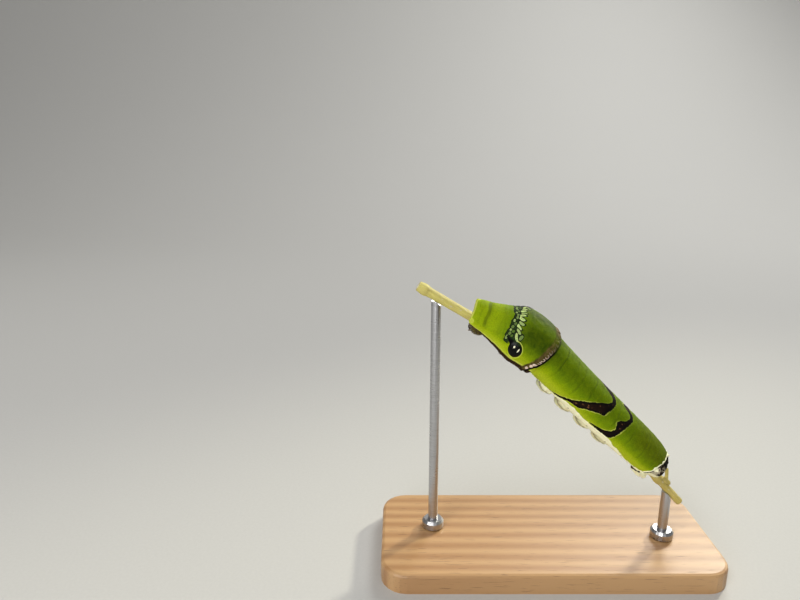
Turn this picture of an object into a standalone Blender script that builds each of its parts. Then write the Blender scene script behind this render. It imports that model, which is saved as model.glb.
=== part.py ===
"""Life-size model of a last-stage spangle swallowtail larva at rest on a short cut stem.

A flat base and two rods hold the stem. The larva faces -X and up the slope, its back leans towards -Y, +Z is up.
The sizes below are in millimetres and degrees, and a mesh is turned into metres when it is made.

Points on the larva are worked out in body coordinates (along, left, up): along runs back from the front
rim of the first segment on the body's axis, left and up are measured square to that axis.
"""

import math

import bmesh
import bpy
import numpy as np

MM = 0.001
GAP = 0.3
SHORTEST_EDGE = 0.04

# Body segments from the front, with their lengths along the axis
SEGMENTS = (
    ("thorax_1", 2.6),
    ("thorax_2", 2.8),
    ("thorax_3", 4.4),
    ("abdomen_1", 5.4),
    ("abdomen_2", 2.8),
    ("abdomen_3", 4.9),
    ("abdomen_4", 5.0),
    ("abdomen_5", 5.0),
    ("abdomen_6", 4.6),
    ("abdomen_7", 3.8),
    ("abdomen_8", 3.3),
    ("abdomen_9", 2.3),
    ("abdomen_10", 1.9),
)
RING_SPACING = 0.95
BODY_SIDES = 30

# Distance along the axis, half width, height of the back over the axis, depth of the belly under it
PROFILE = (
    (0.0, 2.30, 1.00, 0.70),
    (0.35, 2.68, 1.35, 0.80),
    (2.6, 3.15, 2.10, 1.35),
    (5.4, 3.95, 3.20, 2.30),
    (9.8, 5.30, 4.70, 3.45),
    (12.5, 5.20, 4.65, 3.60),
    (14.9, 4.80, 4.25, 3.45),
    (15.5, 4.35, 3.90, 3.15),
    (20.2, 4.25, 3.80, 3.05),
    (28.2, 4.20, 3.75, 3.00),
    (37.5, 4.00, 3.50, 2.90),
    (42.2, 3.85, 3.20, 2.70),
    (45.6, 3.50, 2.75, 2.35),
    (47.1, 3.05, 2.30, 2.00),
    (48.5, 2.35, 1.60, 1.45),
    (48.8, 1.75, 1.05, 0.95),
)
# Slope of the body's axis below the level, along the body
SPINE_SLOPE = ((0.0, 27.0), (8.7, 29.0), (15.2, 45.0), (21.2, 46.0), (33.2, 43.0), (48.8, 42.0))
BODY_ROLL = 47.0
BACK_FULLNESS = 2.2
BELLY_FULLNESS = 2.5
CREASE_DEPTH = 0.10
CREASE_WIDTH = 0.30
# The lower edge of the shield overhangs the side, most on the thorax
SHIELD_OVERHANG = ((0.0, 0.16), (15.1, 0.12), (15.5, 0.05), (43.2, 0.05), (48.8, 0.16))
# How far the belly of each front segment is pushed back, per millimetre under the axis
BELLY_SWEEP = ((0.0, 0.4), (2.6, 1.9), (5.4, 0.75), (9.8, 0.15), (12.2, 0.0), (48.8, 0.0))

HEAD_LEVELS = (
    # along, up, half size along, half width
    (2.85, -2.05, 1.55, 2.02),
    (2.95, -2.75, 1.68, 2.20),
    (2.92, -3.45, 1.58, 2.08),
    (2.80, -4.10, 1.25, 1.68),
    (2.65, -4.60, 0.78, 1.10),
)
HEAD_ROOT = (1.25, 0.72, 46.0)
HEAD_SIDES = 28
FACE_GROOVE = 0.12
HEAD_CHIN = (2.60, 0.0, -4.85)
# Root, tip, root radius and tip radius of the left feeler and the left jaw
FEELER = ((2.25, 0.95, -4.05), (1.60, 1.27, -4.46), 0.27, 0.16)
JAW = ((2.40, 0.45, -4.10), (1.65, 0.22, -4.95), 0.42, 0.22)
# Corner points of the rim and of the tail: place, sink and rise over the surface at root and tip, angle from the
# middle of the back, root radius and tip radius
RIM_POINT = ((0.60, -0.50), (-0.20, 0.12), 68.0, 0.42, 0.22)
TAIL_POINT = ((47.40, -0.55), (48.25, 0.32), 50.0, 0.48, 0.22)

# Pair number, place along the axis on the body's surface, leg's length
TRUE_LEGS = ((1, 2.32, 1.8), (2, 4.75, 2.0), (3, 8.15, 2.1))
LEG_ROOT_ANGLE = 294.0
LEG_ROOT_REACH = 0.42
LEG_SIDES = 10
# Shift along, part of the knee's reach, part of the length, half length, half thickness, lean of the thickness
LEG_LEVELS = (
    (0.0, 0.20, 0.30, 0.50, 0.42, 15.0),
    (0.05, 1.00, 0.52, 0.42, 0.40, -5.0),
    (-0.05, 0.80, 0.70, 0.34, 0.32, -25.0),
    (-0.25, 0.30, 0.88, 0.25, 0.25, -35.0),
)
LEG_CLAW = (-0.45, -0.25, 1.02)
PROLEG_SEGMENTS = ("abdomen_3", "abdomen_4", "abdomen_5", "abdomen_6")
PROLEG_PLACE = 0.55
PROLEG_ROOT_ANGLE = 309.0
# Half length and half spread in degrees of a proleg's root, and the swelling of the flesh round it
PROLEG_ROOT = (1.45, 22.0, 0.22)
SWELLING_WIDTH = 0.90
PROLEG_SIDES = 16
# Shift along, left, up, half length, half thickness, lean of the thickness
PROLEG_LEVELS = ((0.05, 2.72, -3.40, 1.68, 0.86, 18.0), (0.05, 2.40, -4.05, 1.40, 0.76, -5.0))
# The sole and its tip in the same terms, with left counted from the stem's side and up from the stem's centre
PROLEG_SOLE = (0.0, 0.62, -0.25, 1.15, 0.52, -30.0)
PROLEG_TIP = (0.0, 0.42, -0.72)
# The prolegs bulge less towards the rear
PROLEG_SLIMNESS = ((20.4, 1.0), (40.4, 0.86))
ANAL_PROLEG_PLACE = 45.9
ANAL_PROLEG_ANGLE = 314.0
ANAL_PROLEG_ROOT = (1.60, 20.0, 0.22)
ANAL_PROLEG_LEVELS = ((0.10, 2.66, -2.80, 1.95, 0.85, 18.0),)
ANAL_PROLEG_SOLES = ((0.25, 0.95, 0.15, 1.60, 0.72, -12.0), (0.30, 0.60, -0.35, 1.10, 0.50, -30.0))
ANAL_PROLEG_TIP = (0.30, 0.42, -0.78)

# Distance along the axis, drop of the stem's centre under the axis, its offset to the larva's right
STEM_TRACK = (
    (-0.8, 5.75, 2.40),
    (2.7, 5.70, 2.05),
    (8.2, 5.25, 0.75),
    (16.2, 4.70, 0.05),
    (28.2, 4.30, 0.0),
    (40.2, 3.90, 0.0),
    (48.2, 3.35, 0.0),
)
STEM_RADIUS = ((-11.8, 0.95), (10.2, 0.85), (48.2, 0.80), (56.2, 0.76))
STEM_SIDES = 12
STEM_FRONT_LENGTH = 9.6
STEM_FRONT_SLOPE = 30.5
STEM_REAR_LENGTH = 10.6
STEM_REAR_SLOPE = 47.0
STEM_STEP = 1.3
STEM_NODES = (-8.6, 51.6)
NODE_SWELL = 0.22
NODE_WIDTH = 0.9
STUB_PLACE = 52.0
STUB_LENGTH = 3.2

BASE_SIZE = (66.0, 27.0, 4.0)
BASE_CORNER = 5.0
BASE_BEVEL = 0.6
ROD_RADIUS = 0.95
ROD_SIDES = 20
ROD_FOOT_RADIUS = 2.2
ROD_FOOT_HEIGHT = 1.6
FRONT_ROD_PLACE = 6.6
REAR_ROD_PLACE = 5.6
REAR_CLEARANCE = 8.0

BODY_LENGTH = sum(length for _, length in SEGMENTS)
COLOURS = {
    "shield_green": ((0.24, 0.42, 0.02), 0.42),
    "leg_white": ((0.62, 0.60, 0.52), 0.5),
    "head_brown": ((0.20, 0.13, 0.045), 0.35),
    "leg_brown": ((0.12, 0.075, 0.03), 0.4),
    "stem_ochre": ((0.42, 0.34, 0.10), 0.6),
    "base_wood": ((0.42, 0.27, 0.14), 0.5),
    "rod_steel": ((0.55, 0.55, 0.56), 0.28),
}
METALS = {"rod_steel"}


def clear_scene():
    """Remove what a new file holds."""
    for thing in list(bpy.data.objects):
        bpy.data.objects.remove(thing, do_unlink=True)


def through(rows, place, column=1):
    """Read a smooth curve through rows of (place, values...), with no overshoot, flat past both ends."""
    xs = np.array([row[0] for row in rows])
    ys = np.array([row[column] for row in rows])
    widths = np.diff(xs)
    rises = np.diff(ys) / widths
    tangents = np.zeros(len(xs))
    for i in range(1, len(xs) - 1):
        before, after = rises[i - 1], rises[i]
        if before * after > 0:
            near, far = 2 * widths[i] + widths[i - 1], widths[i] + 2 * widths[i - 1]
            tangents[i] = (near + far) / (near / before + far / after)
    tangents[0], tangents[-1] = rises[0], rises[-1]
    at = min(max(place, xs[0]), xs[-1])
    i = min(int(np.searchsorted(xs, at, side="right")) - 1, len(widths) - 1)
    t = (at - xs[i]) / widths[i]
    start = ys[i] * (1 + 2 * t) * (1 - t) ** 2 + widths[i] * tangents[i] * t * (1 - t) ** 2
    end = ys[i + 1] * t * t * (3 - 2 * t) + widths[i] * tangents[i + 1] * t * t * (t - 1)
    return start + end


def ease(value, low, high):
    """Rise smoothly from 0 at low to 1 at high."""
    t = min(max((value - low) / (high - low), 0.0), 1.0)
    return t * t * (3 - 2 * t)


class Spine:
    """The body's axis in the row frame, and the three directions of a cross-section on it."""

    STEP = 0.1

    def __init__(self, start):
        count = int(round(BODY_LENGTH / self.STEP)) + 1
        slopes = [math.radians(through(SPINE_SLOPE, i * self.STEP)) for i in range(count)]
        steps = np.array([(math.cos(a), 0.0, -math.sin(a)) for a in slopes]) * self.STEP
        self.points = np.vstack([np.zeros(3), np.cumsum(steps, axis=0)]) + np.array(start)

    def directions(self, along):
        slope = math.radians(through(SPINE_SLOPE, along))
        roll = math.radians(BODY_ROLL)
        back = np.array((math.cos(slope), 0.0, -math.sin(slope)))
        rise = np.array((math.sin(slope), 0.0, math.cos(slope)))
        towards = np.array((0.0, -1.0, 0.0))
        up = math.cos(roll) * rise + math.sin(roll) * towards
        left = math.cos(roll) * towards - math.sin(roll) * rise
        return back, left, up

    def place(self, point):
        """Body coordinates to the row frame."""
        along, left_by, up_by = point
        back, left, up = self.directions(along)
        at = min(max(along / self.STEP, 0.0), len(self.points) - 1.001)
        i = int(at)
        centre = self.points[i] + (self.points[i + 1] - self.points[i]) * (at - i)
        centre = centre + back * (along - min(max(along, 0.0), BODY_LENGTH))
        return centre + left * left_by + up * up_by


def segment_bounds():
    """Start and end of each segment on the axis."""
    bounds, start = {}, 0.0
    for name, length in SEGMENTS:
        bounds[name] = (start, start + length)
        start += length
    return bounds


def crease(along):
    """Depth of the fold between two segments."""
    depth = 0.0
    for _, end in list(segment_bounds().values())[:-1]:
        depth = max(depth, CREASE_DEPTH * math.exp(-((along - end) / CREASE_WIDTH) ** 2))
    return depth


def skin(along, angle, proud=0.0):
    """Point of the body's surface in body coordinates; angle 0 is the left side, 90 the middle of the back."""
    c, s = math.cos(math.radians(angle)), math.sin(math.radians(angle))
    width, back, belly = (through(PROFILE, along, column) for column in (1, 2, 3))
    fullness, height = (BACK_FULLNESS, back) if s >= 0 else (BELLY_FULLNESS, belly)
    left = math.copysign(abs(c) ** (2 / fullness), c)
    up = math.copysign(abs(s) ** (2 / fullness), s)
    inset = crease(along) - proud
    left *= width - inset
    up *= height - inset
    if s < 0:
        left *= 1 - through(SHIELD_OVERHANG, along) * ease(-s, 0.08, 0.38)
    sweep = through(BELLY_SWEEP, along) * max(-up, 0.0)
    return np.array((along + sweep, left, up))


def finish(name, bm, colour, smooth=40.0):
    """Make the node's object from a mesh in millimetres."""
    bmesh.ops.recalc_face_normals(bm, faces=bm.faces)
    if bm.calc_volume(signed=True) < 0:
        bmesh.ops.reverse_faces(bm, faces=bm.faces)
    bmesh.ops.scale(bm, vec=(MM, MM, MM), verts=bm.verts)
    mesh = bpy.data.meshes.new(name)
    bm.to_mesh(mesh)
    bm.free()
    mesh.shade_smooth()
    mesh.set_sharp_from_angle(angle=math.radians(smooth))
    node = bpy.data.objects.new(name, mesh)
    bpy.context.collection.objects.link(node)
    mesh.materials.append(finish_colour(colour))
    return node


def finish_colour(name):
    """One plain finish for each colour of the part."""
    material = bpy.data.materials.get(name) or bpy.data.materials.new(name)
    material.use_nodes = True
    shader = material.node_tree.nodes["Principled BSDF"]
    colour, roughness = COLOURS[name]
    shader.inputs["Base Color"].default_value = (*colour, 1.0)
    shader.inputs["Roughness"].default_value = roughness
    shader.inputs["Metallic"].default_value = 1.0 if name in METALS else 0.0
    return material


def loft(bm, start, rings, end):
    """Close a row of rings with a fan of faces to a point at each end."""
    rows = [[bm.verts.new(point) for point in ring] for ring in rings]
    first, last = bm.verts.new(start), bm.verts.new(end)
    count = len(rows[0])
    for i in range(count):
        j = (i + 1) % count
        bm.faces.new((first, rows[0][j], rows[0][i]))
        bm.faces.new((last, rows[-1][i], rows[-1][j]))
        for near, far in zip(rows, rows[1:]):
            bm.faces.new((near[i], near[j], far[j], far[i]))
    bmesh.ops.triangulate(bm, faces=[face for face in bm.faces if len(face.verts) > 3])


def fuse(node, pieces):
    """Join small closed pieces to the node that they grow from, and keep its one outer surface."""
    group = bpy.data.collections.new(node.name + "_pieces")
    bpy.context.scene.collection.children.link(group)
    for piece in pieces:
        bpy.context.collection.objects.unlink(piece)
        group.objects.link(piece)
    union = node.modifiers.new("fuse", "BOOLEAN")
    union.operation = "UNION"
    union.operand_type = "COLLECTION"
    union.collection = group
    union.solver = "EXACT"
    bpy.context.view_layer.update()
    joined = bpy.data.meshes.new_from_object(node.evaluated_get(bpy.context.evaluated_depsgraph_get()))
    node.modifiers.remove(union)
    node.data = joined
    for piece in pieces:
        bpy.data.objects.remove(piece, do_unlink=True)
    bpy.data.collections.remove(group)
    keep_largest(joined)


def keep_largest(mesh):
    """Keep the largest closed surface of a mesh, without its shortest edges."""
    bm = bmesh.new()
    bm.from_mesh(mesh)
    left, shells = set(bm.verts), []
    while left:
        shell, front = set(), [left.pop()]
        while front:
            vert = front.pop()
            shell.add(vert)
            for edge in vert.link_edges:
                other = edge.other_vert(vert)
                if other in left:
                    left.remove(other)
                    front.append(other)
        shells.append(shell)
    shells.sort(key=len)
    bmesh.ops.delete(bm, geom=[vert for shell in shells[:-1] for vert in shell], context="VERTS")
    bmesh.ops.remove_doubles(bm, verts=bm.verts, dist=SHORTEST_EDGE * MM)
    bmesh.ops.dissolve_degenerate(bm, edges=bm.edges, dist=SHORTEST_EDGE * MM)
    bmesh.ops.triangulate(bm, faces=bm.faces)
    bm.to_mesh(mesh)
    bm.free()


def cone(name, spine, root, tip, radius, tip_radius, colour, sides=10):
    """A tapered round piece between two points given in body coordinates."""
    start, end = spine.place(root), spine.place(tip)
    return tapered(name, start, end, radius, tip_radius, colour, sides)


def tapered(name, start, end, radius, tip_radius, colour, sides=10):
    """A tapered round piece with a blunt tip, between two points of the row frame."""
    line = (end - start) / np.linalg.norm(end - start)
    side = np.cross(line, (0.0, 1.0, 0.0) if abs(line[1]) < 0.9 else (1.0, 0.0, 0.0))
    side /= np.linalg.norm(side)
    across = np.cross(line, side)
    levels = ((0.0, radius), (0.6, radius + (tip_radius - radius) * 0.55), (0.92, tip_radius), (1.0, tip_radius * 0.55))
    rings = []
    for part, size in levels:
        centre = start + (end - start) * part
        turns = [2 * math.pi * i / sides for i in range(sides)]
        rings.append([centre + size * (math.cos(a) * side + math.sin(a) * across) for a in turns])
    bm = bmesh.new()
    loft(bm, start, rings, end + line * tip_radius * 0.2)
    return finish(name, bm, colour)


def build_body(spine):
    """The thirteen segments, parted by thin cuts square to the axis."""
    nodes = {}
    turns = [360.0 * i / BODY_SIDES for i in range(BODY_SIDES)]
    last = SEGMENTS[-1][0]
    for name, (start, end) in segment_bounds().items():
        front = start if name == SEGMENTS[0][0] else start + GAP / 2
        rear = end - 0.02 if name == last else end - GAP / 2
        count = max(2, int(math.ceil((rear - front) / RING_SPACING)))
        places = [front + (rear - front) * i / count for i in range(count + 1)]
        if name == SEGMENTS[0][0]:
            places[0:1] = [front, front + 0.35]
        rings = [[spine.place(skin(place, turn)) for turn in turns] for place in places]
        first, final = (np.mean(ring, axis=0) for ring in (rings[0], rings[-1]))
        bm = bmesh.new()
        loft(bm, first, rings, final)
        nodes[name] = finish(name, bm, "shield_green")
    return nodes


def add_corner_points(spine, nodes):
    """Short blunt points at the corners of the first segment's rim and of the tail's shield."""
    for name, point in (("thorax_1", RIM_POINT), ("abdomen_10", TAIL_POINT)):
        (root_place, sink), (tip_place, rise), turn, radius, tip_radius = point
        pieces = []
        for side in (1, -1):
            root, tip = skin(root_place, 90 - side * turn, sink), skin(tip_place, 90 - side * turn, rise)
            pieces.append(cone("point", spine, root, tip, radius, tip_radius, "shield_green"))
        fuse(nodes[name], pieces)


def build_head(spine):
    """The rounded head capsule tucked under the first segment, with feelers, jaws and a groove in the face."""
    centre, reach, spread = HEAD_ROOT
    turns = [2 * math.pi * i / HEAD_SIDES for i in range(HEAD_SIDES)]
    rings = []
    for part in (0.5, 1.0):
        rings.append([
            spine.place(skin(centre + reach * part * math.cos(a), 270 + spread * part * math.sin(a), GAP))
            for a in turns
        ])
    for along, up, half_depth, half_width in HEAD_LEVELS:
        ring = []
        for a in turns:
            groove = FACE_GROOVE * math.exp(-(math.sin(a) / 0.16) ** 2) if math.cos(a) < 0 else 0.0
            ring.append(spine.place((along + (half_depth - groove) * math.cos(a), half_width * math.sin(a), up)))
        rings.append(ring)
    bm = bmesh.new()
    loft(bm, spine.place(skin(centre, 270, GAP)), rings, spine.place(HEAD_CHIN))
    head = finish("head", bm, "head_brown")
    pieces = []
    for side in (1, -1):
        for root, tip, radius, tip_radius in (FEELER, JAW):
            ends = mirrored(root, side), mirrored(tip, side)
            pieces.append(cone("mouthpart", spine, *ends, radius, tip_radius, "head_brown", 8))
    fuse(head, pieces)


def mirrored(point, side):
    """Body coordinates of a point for the left side (1) or the right side (-1)."""
    return np.array((point[0], point[1] * side, point[2]))


def limb(name, spine, side, root, levels, tip, sides, colour):
    """A leg on the body's surface: root is (along, angle, half length, half spread in degrees, swelling).

    Each level is (along, left, up, half length along, half thickness, lean in degrees of the thickness line).
    """
    along, angle, reach, spread, swelling = root
    turns = [2 * math.pi * i / sides for i in range(sides)]
    foot = [(0.5, GAP), (1.0, GAP)]
    if swelling:
        foot.append((SWELLING_WIDTH, GAP + swelling))
    rings = []
    for part, proud in foot:
        rings.append([
            skin(along + reach * part * math.cos(a), angle + spread * part * math.sin(a), proud) for a in turns
        ])
    for level_along, left, up, length, thickness, lean in levels:
        out = (math.cos(math.radians(lean)), math.sin(math.radians(lean)))
        rings.append([
            (
                level_along + length * math.cos(a),
                left + thickness * math.sin(a) * out[0],
                up + thickness * math.sin(a) * out[1],
            )
            for a in turns
        ])
    placed = [[spine.place(mirrored(point, side)) for point in ring] for ring in rings]
    bm = bmesh.new()
    loft(bm, spine.place(mirrored(skin(along, angle, GAP), side)), placed, spine.place(mirrored(tip, side)))
    finish(name, bm, colour)


def build_true_legs(spine):
    """Three pairs of short jointed legs that taper to a claw."""
    for number, place, length in TRUE_LEGS:
        along, left, up = skin(place, LEG_ROOT_ANGLE, GAP)
        knee = 0.25 + 0.15 * number
        levels = [
            (along + shift, left + knee * out, up - length * drop, *shape)
            for shift, out, drop, *shape in LEG_LEVELS
        ]
        tip = (along + LEG_CLAW[0], left + knee * LEG_CLAW[1], up - length * LEG_CLAW[2])
        root = (place, LEG_ROOT_ANGLE, LEG_ROOT_REACH, 13.0 - 2.0 * number, 0.0)
        for side, word in ((1, "left"), (-1, "right")):
            limb(f"leg_{number}_{word}", spine, side, root, levels, tip, LEG_SIDES, "leg_brown")


def stem_below(along):
    """Centre of the stem in body coordinates."""
    return np.array((along, -through(STEM_TRACK, along, 2), -through(STEM_TRACK, along, 1)))


def proleg(name, spine, place, angle, root, levels, soles, tip, slim):
    """A left and a right proleg whose soles hold the stem from both sides."""
    stem_side = through(STEM_RADIUS, place) + GAP
    stem_up = stem_below(place)[2]
    rows = [
        (place + shift, left * slim, up * (1 + slim) / 2, length, thickness * slim, lean)
        for shift, left, up, length, thickness, lean in levels
    ]
    rows += [(place + shift, stem_side + left, stem_up + up, *shape) for shift, left, up, *shape in soles]
    end = (place + tip[0], stem_side + tip[1], stem_up + tip[2])
    for side, word in ((1, "left"), (-1, "right")):
        limb(f"proleg_{name}_{word}", spine, side, (place, angle, *root), rows, end, PROLEG_SIDES, "leg_white")


def build_prolegs(spine):
    """Four pairs of fleshy legs and the tail's pair."""
    bounds = segment_bounds()
    for name in PROLEG_SEGMENTS:
        start, end = bounds[name]
        place = start + PROLEG_PLACE * (end - start)
        slim = through(PROLEG_SLIMNESS, place)
        shape = PROLEG_ROOT, PROLEG_LEVELS, (PROLEG_SOLE,), PROLEG_TIP, slim
        proleg(name, spine, place, PROLEG_ROOT_ANGLE, *shape)
    shape = ANAL_PROLEG_ROOT, ANAL_PROLEG_LEVELS, ANAL_PROLEG_SOLES, ANAL_PROLEG_TIP, 1.0
    proleg("abdomen_10", spine, ANAL_PROLEG_PLACE, ANAL_PROLEG_ANGLE, *shape)


def stem_path(spine):
    """Centre points of the stem from its front cut to its rear cut, and the distance along of each."""
    first, last = STEM_TRACK[0][0], STEM_TRACK[-1][0]
    count = int(round((last - first) / STEM_STEP))
    middle = [first + (last - first) * i / count for i in range(count + 1)]
    points = [spine.place(stem_below(along)) for along in middle]
    track = [(along, point) for along, point in zip(middle, points)]
    lead = points[0] - points[1]
    lead_slope = math.degrees(math.atan2(lead[2], -lead[0]))
    drift = lead[1] / np.linalg.norm(lead)
    walked, point = 0.0, points[0]
    while walked < STEM_FRONT_LENGTH - STEM_STEP / 2:
        walked += STEM_STEP
        slope = math.radians(lead_slope + (STEM_FRONT_SLOPE - lead_slope) * ease(walked, 0.0, 5.0))
        point = point + STEM_STEP * np.array((-math.cos(slope), drift * 0.5, math.sin(slope)))
        track.insert(0, (first - walked, point))
    tail = points[-1] - points[-2]
    tail_slope = math.degrees(math.atan2(-tail[2], tail[0]))
    walked, point = 0.0, points[-1]
    while walked < STEM_REAR_LENGTH - STEM_STEP / 2:
        walked += STEM_STEP
        slope = math.radians(tail_slope + (STEM_REAR_SLOPE - tail_slope) * ease(walked, 0.0, 3.0))
        point = point + STEM_STEP * np.array((math.cos(slope), 0.0, -math.sin(slope)))
        track.append((last + walked, point))
    return track


def stem_size(along):
    """Radius of the stem, a little swollen at its nodes."""
    swell = sum(NODE_SWELL * math.exp(-((along - node) / NODE_WIDTH) ** 2) for node in STEM_NODES)
    return through(STEM_RADIUS, along) + swell


def build_stem(spine, track):
    """The cut stem, with the stub of a leaf stalk near its rear end."""
    points = np.array([point for _, point in track])
    rings = []
    for i, (along, point) in enumerate(track):
        line = points[min(i + 1, len(points) - 1)] - points[max(i - 1, 0)]
        line /= np.linalg.norm(line)
        side = np.cross(line, (0.0, 1.0, 0.0))
        side /= np.linalg.norm(side)
        across = np.cross(line, side)
        radius = stem_size(along)
        turns = [2 * math.pi * k / STEM_SIDES for k in range(STEM_SIDES)]
        rings.append([point + radius * (math.cos(a) * side + math.sin(a) * across) for a in turns])
    bm = bmesh.new()
    loft(bm, points[0], rings, points[-1])
    stem = finish("stem", bm, "stem_ochre")
    place = min(range(len(track)), key=lambda i: abs(track[i][0] - STUB_PLACE))
    root = points[place]
    line = (points[place + 1] - points[place - 1]) / np.linalg.norm(points[place + 1] - points[place - 1])
    rise = np.cross(line, (0.0, 1.0, 0.0))
    rise /= np.linalg.norm(rise)
    bulge = tapered("bulge", root - line * 0.8, root + line * 2.4 + rise * 0.95, 0.7, 0.5, "stem_ochre", 10)
    end = root + line * 0.6 + rise * STUB_LENGTH * 0.8 - line * STUB_LENGTH * 0.45
    stub = tapered("stub", root + line * 0.9 + rise * 0.3, end, 0.5, 0.27, "stem_ochre", 8)
    fuse(stem, [bulge, stub])


def rounded_box(name, size, corner, colour):
    """The base: a flat plate with round corners and a small bevel on its top edge."""
    length, depth, height = size
    bm = bmesh.new()
    outline = []
    for turn, (x, y) in enumerate(((1, 1), (-1, 1), (-1, -1), (1, -1))):
        for k in range(7):
            a = math.radians(90 * turn + 15 * k)
            outline.append((
                x * (length / 2 - corner) + corner * math.cos(a),
                y * (depth / 2 - corner) + corner * math.sin(a),
            ))
    floor = bm.faces.new([bm.verts.new((x, y, 0.0)) for x, y in outline])
    raised = bmesh.ops.extrude_face_region(bm, geom=[floor])
    bmesh.ops.translate(bm, vec=(0, 0, height), verts=[e for e in raised["geom"] if isinstance(e, bmesh.types.BMVert)])
    rim = [edge for edge in bm.edges if all(vert.co.z > height - 0.001 for vert in edge.verts)]
    bmesh.ops.bevel(bm, geom=rim, offset=BASE_BEVEL, segments=2, affect="EDGES", profile=0.5)
    bmesh.ops.triangulate(bm, faces=[face for face in bm.faces if len(face.verts) > 4])
    return finish(name, bm, colour, 30.0)


def rod_top(x, y, centre, line, reach):
    """Height of a rod's top at a point, cupped round the stem that passes over it."""
    level = math.hypot(line[0], line[1])
    across = np.array((-line[1], line[0])) / level
    off = (x - centre[0]) * across[0] + (y - centre[1]) * across[1]
    run = (x - centre[0]) * across[1] - (y - centre[1]) * across[0]
    return centre[2] + (run * line[2] - math.sqrt(max(reach ** 2 - off ** 2, 0.05))) / level


def build_stand(track):
    """The base and two rods with a foot ring, each rod cupped under the stem."""
    rounded_box("stand_base", BASE_SIZE, BASE_CORNER, "base_wood")
    alongs = [along for along, _ in track]
    points = np.array([point for _, point in track])
    foot = BASE_SIZE[2] + GAP
    profile = (
        (ROD_FOOT_RADIUS, foot),
        (ROD_FOOT_RADIUS, foot + ROD_FOOT_HEIGHT * 0.7),
        (ROD_FOOT_RADIUS - 0.45, foot + ROD_FOOT_HEIGHT),
        (ROD_RADIUS, foot + ROD_FOOT_HEIGHT),
    )
    turns = [2 * math.pi * k / ROD_SIDES for k in range(ROD_SIDES)]
    for name, place in (("front", -FRONT_ROD_PLACE), ("rear", BODY_LENGTH + REAR_ROD_PLACE)):
        i = min(range(len(alongs)), key=lambda k: abs(alongs[k] - place))
        x, y, _ = centre = points[i]
        line = (points[i + 1] - points[i - 1]) / np.linalg.norm(points[i + 1] - points[i - 1])
        cup = centre, line, stem_size(alongs[i]) + GAP + 0.04
        rings = [[(x + r * math.cos(a), y + r * math.sin(a), height) for a in turns] for r, height in profile]
        for r in (ROD_RADIUS, ROD_RADIUS * 0.55):
            circle = [(x + r * math.cos(a), y + r * math.sin(a)) for a in turns]
            rings.append([(*spot, rod_top(*spot, *cup)) for spot in circle])
        bm = bmesh.new()
        loft(bm, (x, y, foot), rings, (x, y, rod_top(x, y, *cup)))
        finish(f"stand_rod_{name}", bm, "rod_steel", 35.0)


def resting_start():
    """Where the axis starts, so that the stem's rear cut clears the base and the ends are evenly spaced on it."""
    track = stem_path(Spine((0.0, 0.0, 0.0)))
    points = np.array([point for _, point in track])
    middle = (points[0] + points[-1]) / 2
    return (-middle[0], -middle[1], BASE_SIZE[2] + REAR_CLEARANCE - points[-1][2])


def main():
    clear_scene()
    spine = Spine(resting_start())
    nodes = build_body(spine)
    add_corner_points(spine, nodes)
    build_head(spine)
    build_true_legs(spine)
    build_prolegs(spine)
    track = stem_path(spine)
    build_stem(spine, track)
    build_stand(track)


main()
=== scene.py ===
"""Looks of a life-size model of a spangle swallowtail larva on a cut stem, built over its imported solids.

The larva's shape and markings are worked out in body coordinates in millimetres: along runs back from the
rim of the first segment on the body's axis, left and up are square to it, and flank is the angle in degrees
round the body from the middle of the back. A mesh is turned into metres when it is made.
"""

import math

import bmesh
import bpy
import numpy as np
from bpy.props import FloatProperty, FloatVectorProperty, IntProperty, PointerProperty
from bpy.types import Operator, Panel, PropertyGroup
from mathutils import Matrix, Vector


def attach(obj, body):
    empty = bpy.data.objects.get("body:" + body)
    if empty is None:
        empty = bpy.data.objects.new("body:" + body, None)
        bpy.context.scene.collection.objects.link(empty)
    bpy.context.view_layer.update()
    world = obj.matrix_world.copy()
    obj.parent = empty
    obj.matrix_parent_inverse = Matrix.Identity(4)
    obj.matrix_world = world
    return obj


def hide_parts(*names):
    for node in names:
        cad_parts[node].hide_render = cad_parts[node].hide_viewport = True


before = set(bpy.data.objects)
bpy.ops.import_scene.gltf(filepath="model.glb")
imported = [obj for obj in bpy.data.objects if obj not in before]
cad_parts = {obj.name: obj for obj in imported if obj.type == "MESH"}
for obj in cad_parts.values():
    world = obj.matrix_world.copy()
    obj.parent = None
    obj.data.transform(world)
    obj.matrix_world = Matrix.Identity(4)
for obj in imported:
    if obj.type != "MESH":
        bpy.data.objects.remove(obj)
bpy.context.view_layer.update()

bl_info = {
    "name": "Swallowtail larva model", "version": (1, 0, 0), "blender": (4, 5, 0),
    "location": "3D View > Sidebar > Larva",
    "description": "Dresses the packed solids of a swallowtail larva on its stem and stand",
    "category": "Object",
}

MM = 0.001
# Height of the rounded end of a swept form, over its radius
CAP_HEIGHT = 0.35

# Driving sizes of the solids, in millimetres and degrees
SEGMENT_LENGTHS = (2.6, 2.8, 4.4, 5.4, 2.8, 4.9, 5.0, 5.0, 4.6, 3.8, 3.3, 2.3, 1.9)
SEGMENT_ENDS = tuple(float(end) for end in np.cumsum(SEGMENT_LENGTHS))
BODY_LENGTH = SEGMENT_ENDS[-1]
COLLAR_END = SEGMENT_ENDS[3]
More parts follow.
